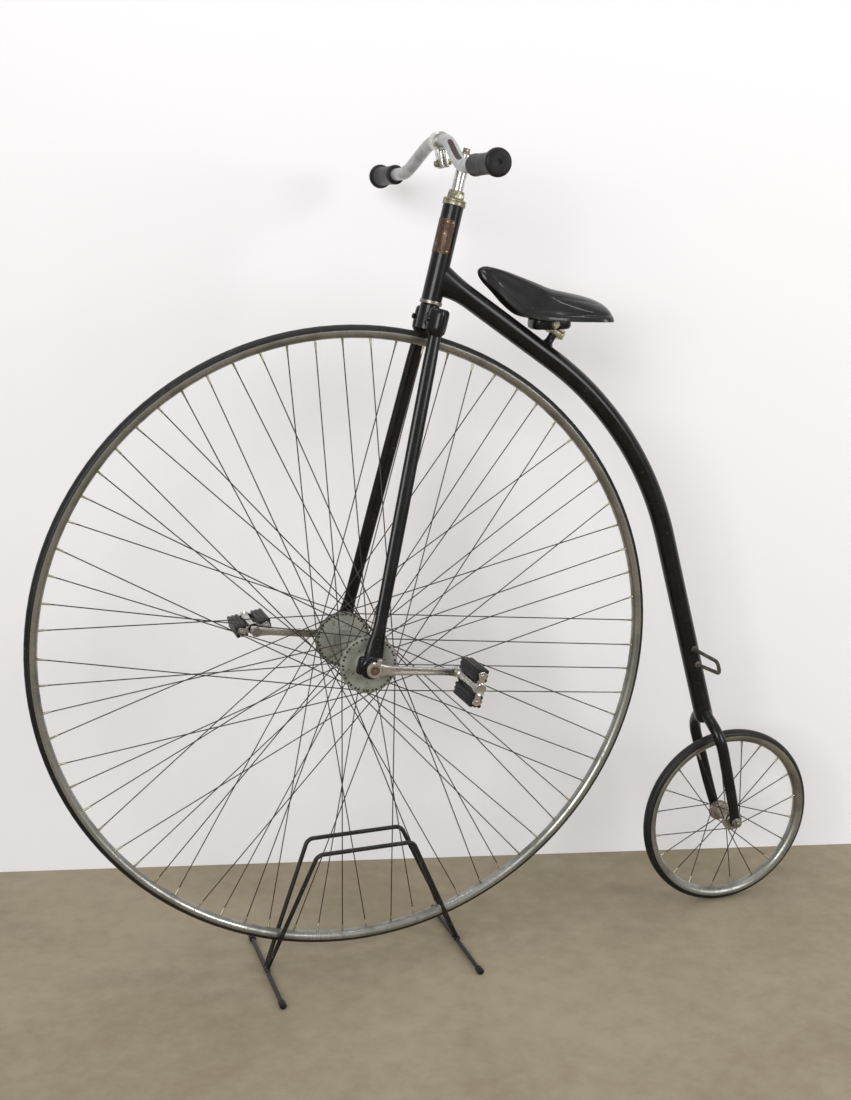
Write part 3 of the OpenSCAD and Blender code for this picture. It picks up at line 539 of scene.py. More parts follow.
# solid rubber tyre: charcoal, chalky patches and fine scuffs
TYRE = (Finish("tyre_rubber", (0.008, 0.008, 0.0088), rough=0.42, shine=0.25)
        .cloud(11, 6, 0.42, 0.7, (0.017, 0.0165, 0.016), 0.52)
        .fleck(240, 0.4, (0.055, 0.052, 0.046), 0.7)
        .powder(0.2, (0.08, 0.076, 0.068), 0.65)
        .grain(420, 5, 0.16, 0.0005).grain(60, 4, 0.1, 0.002).done())
# moulded rubber of grips, pedal blocks and caps: nearly black, satin
RUBBER = (Finish("moulded_rubber", (0.0085, 0.008, 0.0095), rough=0.42, shine=0.24)
          .cloud(40, 5, 0.4, 0.7, (0.015, 0.0145, 0.0155), 0.54)
          .powder(0.12, (0.06, 0.057, 0.052), 0.7).grain(700, 3, 0.12, 0.0003).done())
# chrome plate gone a little cloudy, with brown freckles of rust
CHROME = (Finish("old_chrome", (0.62, 0.61, 0.58), 1.0, 0.17)
          .cloud(70, 5, 0.4, 0.72, (0.4464, 0.4392, 0.4176), 0.34)
          .fleck(650, 0.43, (0.13, 0.07, 0.035), 0.7, 0.25).grain(380, 4, 0.08, 0.0003).done())
# grey plated rims: satin metal with faint streaks, water marks and small brown specks
RIM = (Finish("plated_rim", (0.36, 0.36, 0.335), 0.95, 0.27)
       .cloud(14, 6, 0.4, 0.68, (0.2, 0.2, 0.175), 0.42)
       .fleck(520, 0.43, (0.12, 0.075, 0.045), 0.75, 0.2).grain(300, 5, 0.1, 0.0003).done())
# cast hub flanges: dull green-grey, mottled, with oily brown specks
HUBGREY = (Finish("cast_hub", (0.27, 0.285, 0.25), 0.35, 0.5)
           .cloud(30, 6, 0.38, 0.72, (0.2, 0.21, 0.175), 0.6)
           .fleck(380, 0.44, (0.09, 0.06, 0.04), 0.75, 0.1).grain(260, 6, 0.22, 0.0006).done())
# dull dark steel wire with brown tarnish
WIRE = (Finish("spoke_wire", (0.06, 0.056, 0.048), 0.8, 0.42)
        .cloud(45, 4, 0.45, 0.7, (0.035, 0.027, 0.02), 0.6, 0.5).grain(900, 2, 0.1, 0.0002).done())
# pale brassy spoke nipples
NIPPLE = (Finish("spoke_nipples", (0.4, 0.37, 0.27), 0.9, 0.36)
          .fleck(700, 0.47, (0.13, 0.08, 0.045), 0.7, 0.3).grain(900, 2, 0.1, 0.0002).done())
# bare turned steel gone grey-brown
STEEL = (Finish("bare_steel", (0.34, 0.33, 0.3), 1.0, 0.32)
         .cloud(60, 5, 0.4, 0.7, (0.2, 0.175, 0.145), 0.45)
         .fleck(500, 0.45, (0.1, 0.055, 0.03), 0.8, 0.15).grain(500, 4, 0.12, 0.0003).done())
# rear hub: brownish nickel, worn and greasy
HUBREAR = (Finish("rear_hub_nickel", (0.38, 0.35, 0.3), 0.75, 0.4)
           .cloud(60, 6, 0.38, 0.68, (0.22, 0.18, 0.14), 0.55)
           .fleck(420, 0.46, (0.08, 0.05, 0.03), 0.8, 0.1).grain(300, 5, 0.2, 0.0004).done())
# mounting step: paint gone, brown pitted rod
STEP = (Finish("worn_step", (0.085, 0.065, 0.05), 0.45, 0.5)
        .cloud(90, 6, 0.4, 0.66, (0.05, 0.04, 0.035), 0.62)
        .fleck(420, 0.47, (0.24, 0.21, 0.18), 0.35, 0.9).grain(420, 6, 0.35, 0.0006).done())
# blank head plate: tarnished copper brown, mottled darker, with bright scratches
PLATE = (Finish("head_plate_copper", (0.085, 0.05, 0.032), 0.6, 0.42, shine=0.4)
         .cloud(75, 7, 0.36, 0.64, (0.04, 0.026, 0.02), 0.55, 0.4, 0.7)
         .fleck(600, 0.45, (0.3, 0.2, 0.12), 0.3, 0.9).grain(420, 5, 0.2, 0.0003).done())
# silver paint of the handlebar: pale, faintly cloudy, with small grey chips
SILVER = (Finish("silver_bar", (0.42, 0.42, 0.435), 0.55, 0.36, 0.12)
          .cloud(60, 5, 0.42, 0.7, (0.31, 0.31, 0.315), 0.46)
          .fleck(520, 0.4, (0.28, 0.24, 0.2), 0.6, 0.2).grain(240, 4, 0.08, 0.0004).done())
# nickel gone green-brown: headset rings, lock nut, clamp and saddle plate
PATINA = (Finish("nickel_patina", (0.36, 0.34, 0.26), 0.9, 0.3)
          .cloud(110, 6, 0.36, 0.66, (0.2, 0.175, 0.115), 0.48, 0.6)
          .fleck(560, 0.44, (0.1, 0.06, 0.035), 0.75, 0.2).grain(480, 4, 0.14, 0.0003).done())
# worn lacquer patch on the handlebar: dark red-brown with a dull sheen
LACQUER = (Finish("brown_lacquer", (0.04, 0.017, 0.014), rough=0.42, shine=0.25)
           .cloud(300, 6, 0.4, 0.66, (0.022, 0.012, 0.011), 0.6, grain=0.7)
           .grain(700, 4, 0.2, 0.0002).done())
# dust collars of the hub bearings: dried red-brown grease on steel
COLLAR = (Finish("greased_collar", (0.11, 0.05, 0.035), 0.3, 0.5)
          .cloud(160, 5, 0.4, 0.66, (0.05, 0.03, 0.026), 0.6).grain(500, 4, 0.2, 0.0004).done())


def leather_finish():
    """Polished black leather: slow creases and a fine pebble grain of small cells."""
    f = Finish("saddle_leather", (0.005, 0.0048, 0.0052), 0.0, 0.3, 0.38, 0.05, 0.2)
    cells = f.tree.nodes.new("ShaderNodeTexVoronoi")
    cells.feature = "DISTANCE_TO_EDGE"
    cells.inputs["Scale"].default_value = 620
    f.tree.links.new(f.place, cells.inputs["Vector"])
    f.cloud(32, 5, 0.4, 0.7, (0.012, 0.0115, 0.011), 0.36)
    f.fleck(300, 0.4, (0.04, 0.035, 0.03), 0.45)
    f.powder(0.06, (0.06, 0.057, 0.054), 0.4)
    f.grain(38, 6, 0.3, 0.0025, 0.6)
    return f.bump(band(f.tree, cells.outputs["Distance"], 0.0, 0.12), 0.22, 0.00035).done()


LEATHER = leather_finish()

for name, finish in {
    "front_tyre": TYRE, "rear_tyre": TYRE, "front_rim": RIM, "rear_rim": RIM,
    "crank_spindle": STEEL, "pedal_pin_left": STEEL, "pedal_pin_right": STEEL,
    "steerer": STEEL, "head_tube": ENAMEL, "seat_post": ENAMEL, "rear_axle": STEEL,
    "stand_foot_front": STAND, "stand_foot_rear": STAND,
}.items():
    mesh = NODES[name].data
    mesh.materials.clear()
    mesh.materials.append(finish)

# ---------------------------------------------------------------- wheels


def on_wheel(centre, r, a, y):
    """Points at radius r and angle a (radians, from +X to +Z) round an axle, y across."""
    r, a, y = np.broadcast_arrays(np.asarray(r, float), np.asarray(a, float), np.asarray(y, float))
    return np.asarray(centre) + np.stack([r * np.cos(a), y, r * np.sin(a)], -1)


def wires(start, stop, stations, radii, sides=8):
    """Many straight wires at once: rings of the given radii at the given distances (mm, or
    from the far end where negative) between the start and stop points of each wire."""
    t = unit(stop - start)
    length = np.linalg.norm(stop - start, axis=-1)
    u, v = across(t)
    w = np.arange(sides) * 2 * np.pi / sides
    at = np.stack([np.full(len(length), s) if s >= 0 else length + s for s in stations], 1)
    mid = start[:, None] + at[..., None] * t[:, None]
    ring = np.cos(w)[:, None] * u[:, None] + np.sin(w)[:, None] * v[:, None]
    return mid[:, :, None] + np.asarray(radii, float)[None, :, None, None] * ring[:, None]


def lacing(centre, count, start, side, lay, holes_r, y, rim_r, rim_y, gap):
    """Flange ends and rim ends of one side's spokes; odd and even ones lean opposite ways."""
    i = np.arange(count)
    turn = np.where(i % 2 == 0, -1.0, 1.0)
    rim_a = np.radians(start + i * 360 / count)
    hole_a = rim_a + turn * math.radians(lay)
    return (on_wheel(centre, holes_r, hole_a, side * (y + turn * gap / 2)),
            on_wheel(centre, rim_r, rim_a, side * rim_y), hole_a)


def wheel_spokes(prefix, centre, lacings, nipple_r, node_names):
    """Butted wires and their nipples: a nipple is a turned tube that widens to the rim."""
    wire, ends = Shape(), Shape()
    r, long = 1.15, 11.0
    for args in lacings:
        hub_end, rim_end, _ = lacing(centre, *args)
        wire.tubes(wires(hub_end, rim_end, [0, 3, -26, -24, -6],
                         [r * 1.06, r, r, r * 1.12, r * 1.12]))
        ends.tubes(wires(hub_end, rim_end, [-long - 6, -long - 5, -long * 0.6 - 4, -6, -0.8],
                         [r * 1.1, nipple_r * 0.82, nipple_r, nipple_r * 1.08, nipple_r * 1.3], 10))
    body = prefix + "_wheel"
    wire.piece(prefix + "_wires", body, "steel_dull", WIRE, 60, node_names, weld=False)
    ends.piece(prefix + "_nipples", body, "steel_dull", NIPPLE, 60, weld=False)


SPOKE_FOOT = 1.6  # how far a spoke's end stands inside the rim's inner face
FRONT_RIM_IN = FRONT_R - FRONT_TYRE - 1 - FRONT_TYRE - SPOKE_FOOT
REAR_RIM_IN = REAR_R - REAR_TYRE - 1 - REAR_TYRE - SPOKE_FOOT
FRONT_LACING = [(36, start, side, 81.15, 52.0, 97.0, FRONT_RIM_IN + SPOKE_FOOT, 2.3, 5.2)
                for start, side in ((5.8, -1), (10.8, 1))]
REAR_LACING = [(10, start, side, 66, 19.0, 31.5, REAR_RIM_IN + SPOKE_FOOT, 2.3, 4.0)
               for start, side in ((8.0, -1), (26.0, 1))]
wheel_spokes("front", HUB, FRONT_LACING, 2.0, ["front_spokes_left", "front_spokes_right"])
wheel_spokes("rear", REAR, REAR_LACING, 2.1, ["rear_spokes"])


def front_hub():
    """Barrel and two drilled flanges. A flange is a turned disc whose rim is notched where
    each spoke leaves it: r falls by a narrow bell at every spoke angle."""
    hub, heads = Shape(), Shape()
    end, head_r = 101, 51.4
    barrel = [(SPINDLE_BORE, -end), (20, -end), (20, end), (SPINDLE_BORE, end)]
    hub.tubes(lathe(barrel, HUB, Y, 64))
    flange = [(20, 89), (22, 92.6), (26, 93.2), (54, 93.0), (56.4, 93.8), (57, 95.2), (57, 98.8),
              (56.4, 100.2), (54, 101), (46, 100.6), (40, 99.2), (30, 98.8), (26, 99.6),
              (23, 101.4), (21, 101.6), (9, 101.6)]
    for args in FRONT_LACING:
        out = args[2] * Y
        hole_a = lacing(HUB, *args)[2]
        u, v = across(out[None])

        def notched(r, w, row, hole_a=hole_a, u=u[0], v=v[0]):
            if row[0] < 53:
                return r
            d = np.cos(w)[:, None] * u + np.sin(w)[:, None] * v
            a = np.arctan2(d[:, 2], d[:, 0])
            gap = np.abs((a[:, None] - hole_a[None] + np.pi) % (2 * np.pi) - np.pi)
            return r - 1.5 * np.exp(-(gap / math.radians(1.3)) ** 2).max(1)

        hub.tubes(lathe(flange, HUB, out, 360, wobble=notched), (False, True))
        for k, a in enumerate(hole_a):
            # odd spokes come through from inside: their heads are on the outer face
            odd = k % 2
            at = on_wheel(HUB, head_r, a, args[2] * (101.0 if odd else 92.9))
            heads.button(2.5, 1.5 if odd else 1.2, at, out if odd else -out, 12, 3)
            back = on_wheel(HUB, head_r, a, args[2] * (93.0 if odd else 100.9))
            washer = lathe([(0, 0.25), (1.9, 0.25), (2.5, 0.1)], back, -out if odd else out, 12)
            heads.tubes(washer[::-1], (False, False))
    hub.piece("front_hub_casting", "front_wheel", "zinc_grey", HUBGREY, 28, ["front_hub"])
    heads.piece("front_spoke_heads", "front_wheel", "steel_dull", WIRE, 50)


def rear_hub():
    """Small hub: barrel, two flanges with a rounded edge, bearing caps and spoke heads."""
    hub, heads = Shape(), Shape()
    half = [(AXLE_BORE, 35), (13, 35), (14, 34), (22, 34.6), (23, 33.6), (23, 29), (22, 28.2),
            (17, 27.6), (13.5, 25), (13, 20), (12.4, 0)]
    hub.ring([(r, -h) for r, h in half] + [(r, h) for r, h in half[::-1]], REAR, Y, 64)
    for args in REAR_LACING:
        for a in lacing(REAR, *args)[2]:
            heads.button(2.3, 1.4, on_wheel(REAR, 19, a, args[2] * 34.5), args[2] * Y, 10, 3)
    hub.piece("rear_hub_shell", "rear_wheel", "steel_dull", HUBREAR, 30, ["rear_hub"])
    heads.piece("rear_spoke_heads", "rear_wheel", "steel_dull", STEEL, 50)


front_hub()
rear_hub()

# ---------------------------------------------------------------- cranks and pedals


def crank_frame(side):
    """Directions of a crank: from spindle to pedal, out to its side, and square to both."""
    d = -side * np.array([math.cos(SLOPE), 0, -math.sin(SLOPE)])
    return d, side * Y, unit(np.cross(d, side * Y))


def crank(side):
    """Forged crank: two turned eyes and an arm whose section is a rounded bar with a flute
    on its outer face. The section's height falls from the spindle to the pedal."""
    d, out, up = crank_frame(side)
    arm = Shape()
    for at, r, bore in ((0, 15.5, SPINDLE_BORE), (CRANK, 11.0, PIN_BORE)):
        arm.ring(along(CRANK_IN, (bore, 0), (r - 1.2, 0), (r, 1.2))
                 + along(CRANK_OUT, (r, -1.4), (r - 1.4, 0), (bore + 1.0, 0), (bore, -0.8)),
                 HUB + at * d, out, 56)
    s = np.linspace(9, CRANK - 6, 26)
    t = (s - s[0]) / (s[-1] - s[0])
    high = (9.4 - 2.4 * rise(t * 1.1) + 3.6 * np.exp(-(t / 0.09) ** 2)
            + 2.2 * np.exp(-((1 - t) / 0.07) ** 2))
    w = np.arange(48) * 2 * np.pi / 48
    c = np.sign(np.cos(w)) * np.abs(np.cos(w)) ** 0.5
    q = np.sign(np.sin(w)) * np.abs(np.sin(w)) ** 0.5
    flute = 1.5 * np.exp(-(q / 0.38) ** 2) * (c > 0.7)
    fluted = rise((t - 0.1) / 0.1) * rise((0.93 - t) / 0.1)
    y = (CRANK_IN + CRANK_OUT) / 2 + 5.0 * c[None] - flute[None] * fluted[:, None]
    P = HUB + s[:, None, None] * d + (high[:, None] * q[None])[..., None] * up + y[..., None] * out
    arm.tubes(P[:, ::-1] if np.dot(np.cross(out, up), d) < 0 else P)
    arm.piece("crank_arm_" + hand(side), "front_wheel", "chrome_worn", CHROME, 30,
              ["crank_" + hand(side)])


def crank_ends():
    """Cotter pins with their nuts, the spindle's end caps and the housings' dust collars."""
    pins, caps = Shape(), Shape()
    for side in (-1, 1):
        d, out, up = crank_frame(side)
        top = up if up[2] > 0 else -up
        at = HUB + 9.5 * d + (CRANK_IN + CRANK_OUT) / 2 * out
        pin = [(0, -19.5), (2.6, -19.5), (3.5, -17), (3.5, 19), (2.9, 22.5), (0, 22.5)]
        pins.tubes(lathe(pin, at, top, 20))
        pins.tubes(nut(6.0, 5.0, at + 15.4 * top, top, 0.2))
        pins.tubes(lathe([(3.6, 0), (6.2, 0), (6.2, 1), (3.6, 1)], at + 14.6 * top, top, 28))
        caps.spun([(8, 0), (8, 0.6), (6.6, 1.0), (5.8, 0.5), (3.2, 0.4), (2.6, -0.6), (0, -1.4)],
                  HUB + (CRANK_OUT + 0.95) * out, out, 40)
        caps.tubes(lathe([(8.1, 0), (13, 0), (13.4, 0.5), (13, 2.4), (8.1, 2.6)],
                         HUB + (HOUSING_OUT + 0.35) * out, out, 48))
    pins.piece("cotter_pins", "front_wheel", "chrome_worn", CHROME, 30, ["crank_cotters"])
    caps.piece("dust_collars", "front_wheel", "steel_dull", COLLAR, 30)


def pedal(side, turn):
    """Rubber pedal: turned barrel, two waisted end plates, rods with riveted ends, and two
    blocks whose section is a square with two grooves in every face."""
    centre = HUB + CRANK * crank_frame(side)[0]
    a = math.radians(turn)
    wide = np.array([math.cos(a), 0, math.sin(a)])
    thick, out = np.array([-math.sin(a), 0, math.cos(a)]), side * Y
    metal, blocks = Shape(), Shape()

    def layers(at, line, steps, narrow):
        """The outline drawn at each (inset, y) step, smaller by its inset."""
        rings = np.array([at + (line[:, :1] * (1 - inset / narrow)) * wide
                          + (line[:, 1:] * (1 - inset / 12)) * thick + y * out
                          for inset, y in steps])
        return rings[:, ::-1] if np.dot(np.cross(wide, thick), out) < 0 else rings

    metal.ring(along(PEDAL_IN, (PIN_BORE, 0), (11.5, 0), (12.5, 1), (12.5, 6), (9.6, 8.5),
                     (9.3, 12))
               + along(PEDAL_OUT, (9.3, -12), (9.6, -8.5), (12.2, -6), (12.4, -1), (11.6, 0.5),
                       (11.4, 4.6), (10.2, 6), (9.2, 5.4), (0, 5.2), (0, -1.0), (PIN_BORE, -1.0)),
               centre, out, 48)
    w = np.arange(96) * 2 * np.pi / 96
    reach = 33.5
    x = reach * np.sign(np.cos(w)) * np.abs(np.cos(w)) ** 0.9
    near = np.abs(x) / reach
    half = np.where(near < 0.42, 12.8 - 7.2 * rise(near / 0.42),
                    5.6 + 3.4 * rise((near - 0.45) / 0.45))
    z = half * np.clip(np.abs(np.sin(w)) * 1.9, 0, 1) * np.sign(np.sin(w))
    z = np.where(near > 0.9, z * np.sqrt(np.clip((1 - near) / 0.1, 0, 1)), z)
    for y0, y1 in ((PEDAL_IN, PEDAL_IN + 3.6), (PEDAL_OUT - 3.6, PEDAL_OUT)):
        steps = ((0.7, y0), (0, y0 + 0.7), (0, y1 - 0.7), (0.7, y1))
        metal.tubes(layers(centre, np.stack([x, z], -1), steps, 33))
    mid = (PEDAL_IN + PEDAL_OUT) / 2
    for x0 in (-25.0, 25.0):
        at = centre + x0 * wide
        metal.spun(along(PEDAL_IN, (0, -2.6), (2.4, -2.4), (3.4, -1), (3.4, 0.2), (2.95, 0.2))
                   + along(PEDAL_OUT, (2.95, -0.2), (3.4, -0.2), (3.4, 1.2), (2.4, 2.8), (0, 3)),
                   at, out, 24)
        steps = ((1.4, PEDAL_IN + 3.9), (0.4, PEDAL_IN + 4.3), (0, PEDAL_IN + 5.4),
                 (0, mid - 22), (0, mid + 22),
                 (0, PEDAL_OUT - 5.4), (0.4, PEDAL_OUT - 4.3), (1.4, PEDAL_OUT - 3.9))
        blocks.tubes(layers(at, block_section(12.0), steps, 12))
    name = hand(side)
    body = "pedal_" + name
    metal.piece("pedal_metal_" + name, body, "chrome_worn", CHROME, 30, ["pedal_cage_" + name])
    blocks.piece("pedal_rubbers_" + name, body, "rubber_black", RUBBER, 26,
                 ["pedal_blocks_" + name])


def block_section(half):
    """Square of the given half side with rounded corners and two shallow grooves a face."""
    line = np.linspace(-1, 1, 25)[:-1]
    dip = 2.0 * (np.exp(-((line - 0.36) / 0.13) ** 2) + np.exp(-((line + 0.36) / 0.13) ** 2))
    corner = 1.6 * np.clip((np.abs(line) - 0.86) / 0.14, 0, 1) ** 2
    out = half - dip - corner
    run = line * (half - 0.4)
    pairs = ((out, run), (-run, out), (-out, -run), (run, -out))
    return np.concatenate([np.stack(pair, -1) for pair in pairs])


crank(-1)
crank(1)
crank_ends()
pedal(-1, 76.0)
pedal(1, 9.5)

# ---------------------------------------------------------------- fork


def fork_leg(side):
    """Oval blade: its path runs straight from the crown socket to above the hub and then
    turns to the housing; both half widths fall smoothly along it."""
    top = np.array([SOCKET_X, side * SOCKET_Y, LEG_TOP])
    knee = np.array([OFFSET, side * KNEE_Y, KNEE_UP])
    foot = np.array([OFFSET, side * FOOT_Y, FOOT_UP])
    s = np.linspace(0, 1, 40)
    path = top + (knee - top) * s[:, None]
    path = np.concatenate([path, knee + (foot - knee) * np.linspace(0, 1, 7)[1:, None]])
    z = np.concatenate([s, 1 + np.linspace(0, 0.1, 7)[1:]])
    wide = (11.6 + 1.8 * rise(z / 0.15) - 1.0 * rise((z - 0.55) / 0.45)
            + 6.0 * rise((z - 0.97) / 0.12))
    thin = 8.2 - 0.9 * rise(z / 0.9) + 2.0 * rise((z - 1.02) / 0.08)
    leg = Shape().tubes(sweep(steer(path), thin, wide, Y, 40, 2.15))
    leg.piece("fork_blade_" + hand(side), "fork", "enamel_black", ENAMEL, 40,
              ["fork_leg_" + hand(side)])


def housings():
    """Bearing housings: a turned drum with rounded edges and a forward lug that two screws
    hold."""
    drums, bolts = Shape(), Shape()
    lug_x = OFFSET - 13
    for side in (-1, 1):
        out = side * Y
        drums.ring(along(HOUSING_IN, (SPINDLE_BORE, 0), (17.5, 0), (20.8, 1.1), (22.8, 3.4),
                         (23.5, 7))
                   + along(HOUSING_OUT, (23.5, -9), (22.8, -5.2), (21.0, -2.4), (18.2, -0.7),
                           (15.5, 0), (SPINDLE_BORE, 0)), HUB, out, 64)
        drums.tubes(slab(steer([lug_x, side * FOOT_Y, 0.0]), (AXIS, out, np.cross(AXIS, out)),
                         (18.0, 9.6, 14.0), 6.0, 5, 9.0))
        for s in (-12, 12):
            bolts.button(4.2, 1.9, steer([lug_x, side * 124.4, s]), out, 20, 4)
    drums.piece("axle_drums", "fork", "enamel_black", ENAMEL, 32,
                ["axle_housing_left", "axle_housing_right"])
    bolts.piece("axle_drum_screws", "fork", "enamel_black", ENAMEL, 40)


def crown():
    """Fork crown: a central boss and two sockets, each a turned barrel with a soft edge that
    narrows to a collar, joined by a bridge whose section is a superellipse."""
    c, b = Shape(), Shape()
    boss = [(STEERER_R, CROWN_S), (18.5, CROWN_S)] + along(
        CROWN_TOP, (18.5, -9), (18.9, -5), (18.4, -1), (17, 0), (STEERER_R, 0))
    c.ring(boss, steer([0, 0, 0]), AXIS, 56)
    socket = along(CROWN_TOP - 50, (0, -4), (13.5, -4), (14.6, -1), (17.2, 3), (18.3, 6.5),
                   (18.6, 12), (18.6, 34), (18.2, 40), (16.6, 44), (13.5, 46), (0, 46.4))

    def squared(r, w, row):
        return r * (1 + 0.05 * np.cos(4 * w) * (row[0] > 15))

    for side in (-1, 1):
        c.spun(socket, steer([SOCKET_X, side * SOCKET_Y, 0]), AXIS, 56, wobble=squared)
        at = steer([-11.0, side * 43.0, CROWN_TOP - 26])
        b.tubes(nut(5.6, 4.6, at, -BACK, 0.3)).button(3.2, 1.6, at - 4.6 * BACK, -BACK, 16, 4)
    t = np.linspace(-1, 1, 25)
    path = np.stack([SOCKET_X - 3.4 * (1 - t ** 2), 42 * t, CROWN_TOP - 26.5 + 0 * t], -1)
    c.tubes(sweep(steer(path), 13.5 + 3.5 * t ** 2, 15.0 + 1.5 * t ** 2, BACK, 32, 3.2))
    c.piece("crown_casting", "fork", "enamel_black", ENAMEL, 34, ["fork_crown"])
    b.piece("crown_pinch_bolts", "fork", "enamel_black", ENAMEL, 30)


fork_leg(-1)
fork_leg(1)
housings()
crown()

# ---------------------------------------------------------------- headset, stem and handlebar


def headset():
    """Turned races: a beaded lower ring, a stepped upper cup and a six-sided lock nut with a
    collar above it."""
    o, bore, press = steer([0, 0, 0]), STEERER_R, 16.9
    lower = Shape().ring(along(HEAD_S, (bore, -7), (19.9, -7), (21.1, -6.2), (21.6, -4.6),
                               (21.3, -3.4), (21.6, -2.2), (21.3, -0.4), (20.3, 0), (press, 0),
                               (press, 12), (bore, 12)), o, AXIS, 64)
    upper = Shape().ring(along(HEAD_TOP, (bore, -12), (press, -12), (press, 0), (20.1, 0),
                               (21.4, 0.8), (21.6, 2.4), (21.4, 6.2), (20.6, 6.8), (20.6, 7.4),
                               (21.5, 8.2), (21.6, 9.6), (21.2, 11.0), (19.4, 12.4), (17.2, 13),
                               (bore, 13)), o, AXIS, 64)
    lock = Shape().ring(along(NUT_S, (bore, 0), (16.0, 0), (17.6, 0.6, 17.3), (17.6, 7.4, 17.3),
                              (16.6, 9.4, 16.4), (14.6, 10.4), (14.4, 12.6), (13.4, 14.0),
                              (bore, 14.0)), o, AXIS, 144, corners=6, phase=0.35)
    lower.piece("lower_race", "frame", "chrome_worn", STEEL, 34, ["head_cup_lower"])
    upper.piece("upper_race", "frame", "chrome_worn", PATINA, 34, ["head_cup_upper"])
    lock.piece("race_lock_nut", "fork", "chrome_worn", PATINA, 30, ["head_lock_nut"])


def stem():
    """Stem: turned quill, an arm that narrows forward from it to a split clamp ring, and a
    lug of two ears under the ring; a bolt and two nuts draw the ears together."""
    s, bolts = Shape(), Shape()
    quill_top, low = CLAMP_S - 9, STEER_TOP - 75
    s.spun([(0, low), (11, low), (11, quill_top - 1.2), (9.8, quill_top), (0, quill_top)],
           steer([0, 0, 0]), AXIS, 48)
    a, b = np.array([2.5, 0, quill_top - 12.5]), np.array([-REACH + 8, 0, CLAMP_S - 4.5])
    t = np.linspace(0, 1, 14)
    bow = np.sin(np.pi * t)
    path = a + (b - a) * t[:, None] + np.array([0, 0, 3.0]) * bow[:, None]
    s.tubes(sweep(steer(path), 9.8 - 0.8 * bow, 9.6 - 1.4 * bow, Y, 32, 2.3))
    centre = steer([-REACH, 0, CLAMP_S])
    half = [(11.58, 17), (14.6, 17), (15.5, 16.2), (15.5, 12.6), (15.0, 11.8)]
    s.ring([(r, -h) for r, h in half] + half[::-1], centre, Y, 56)
    turn = math.radians(25)
    down = -math.cos(turn) * AXIS + math.sin(turn) * BACK
    fore = math.cos(turn) * BACK + math.sin(turn) * AXIS
    for x in (-5.3, 5.3):
        s.tubes(slab(centre + x * fore + 29.5 * down, (fore, Y, -down), (3.7, 9.0, 17.5),
                     1.4, 3, 1.6))
    s.piece("stem_forging", "fork", "chrome_worn", CHROME, 32, ["stem"])
    at = centre + 38 * down
    bolts.spun([(0, -17), (2.8, -17), (3.5, -16), (3.5, 16.4), (2.9, 17), (0, 17)], at, fore, 20)
    for x, d in ((9.0, 1), (-9.0, -1)):
        washer = [(3.6, 0), (7.4, 0), (7.4, 1.2), (3.6, 1.2)]
        bolts.tubes(lathe(washer, at + x * fore, d * fore, 28))
        bolts.tubes(nut(6.5, 5.2, at + (x + 1.2 * d) * fore, d * fore))
    top = steer([0, 0, quill_top])
    bolts.spun([(0, 0), (8.6, 0), (9, 0.5), (9, 2.4), (8.4, 3), (0, 3)], top, AXIS, 36)
    bolts.tubes(nut(7.5, 8.0, top + 3 * AXIS, AXIS, 0.25))
    bolts.piece("stem_bolts", "fork", "steel_dull", PATINA, 30, ["stem_bolt", "clamp_bolt"])


def bar_path(y):
    """Middle of the handlebar at y: its drop follows a smooth step between 26 and 186."""
    y = np.asarray(y, float)
    z = CLAMP_S - DROP * rise((np.abs(y) - 26) / 160)
    return steer(np.stack([np.full(y.shape, -REACH), y, z], -1))


def handlebar():
    """Bent bar, a worn patch of lacquer on its left bend, and turned rubber grips."""
    y = np.concatenate([np.linspace(*run) for run in (
        (-343, -190, 8), (-186, -26, 34), (-20, 20, 5), (26, 186, 34), (190, 343, 8))])
    rod = sweep(bar_path(y), BAR_R, BAR_R, BACK, 40)
    Shape().tubes(rod).piece("bar_tube", "fork", "bar_silver", SILVER, 50, ["handlebar"])
    v = np.linspace(-1, 1, 40)
    half = math.radians(24) * (1 - np.abs(v) ** 7 * 0.999) ** (1 / 3)
    patch = band_plate(bar_path(np.linspace(-75, -168, 40)), BACK, math.radians(128), half,
                       BAR_R + 0.25, 10.8, 16)
    Shape().tubes(patch).piece("bar_patch", "fork", "bar_silver", LACQUER, 50)
    rows = along(BAR_W / 2, (GRIP_BORE, -118), (15.4, -118), (17.4, -117), (18.4, -114.5),
                 (18.5, -108), (18.0, -104), (17.6, -98), (17.3, -70), (17.5, -40), (17.9, -24),
                 (18.4, -19), (19.6, -16), (21.6, -14.4), (22.6, -12.5), (23.0, -9.5),
                 (22.9, -5), (22.2, -2.4), (20.6, -0.7), (18.0, 0), (8.0, -0.4), (4.2, -0.8),
                 (3.8, -3.2), (0, -3.6), (0, -3.9), (GRIP_BORE, -3.9))
    for side in (-1, 1):
        grip = Shape().ring(rows, steer([-REACH, 0, CLAMP_S - DROP]), side * Y, 56)
        grip.piece("grip_rubber_" + hand(side), "fork", "rubber_black", RUBBER, 34,
                   ["grip_" + hand(side)])


headset()
stem()
handlebar()

# ---------------------------------------------------------------- frame


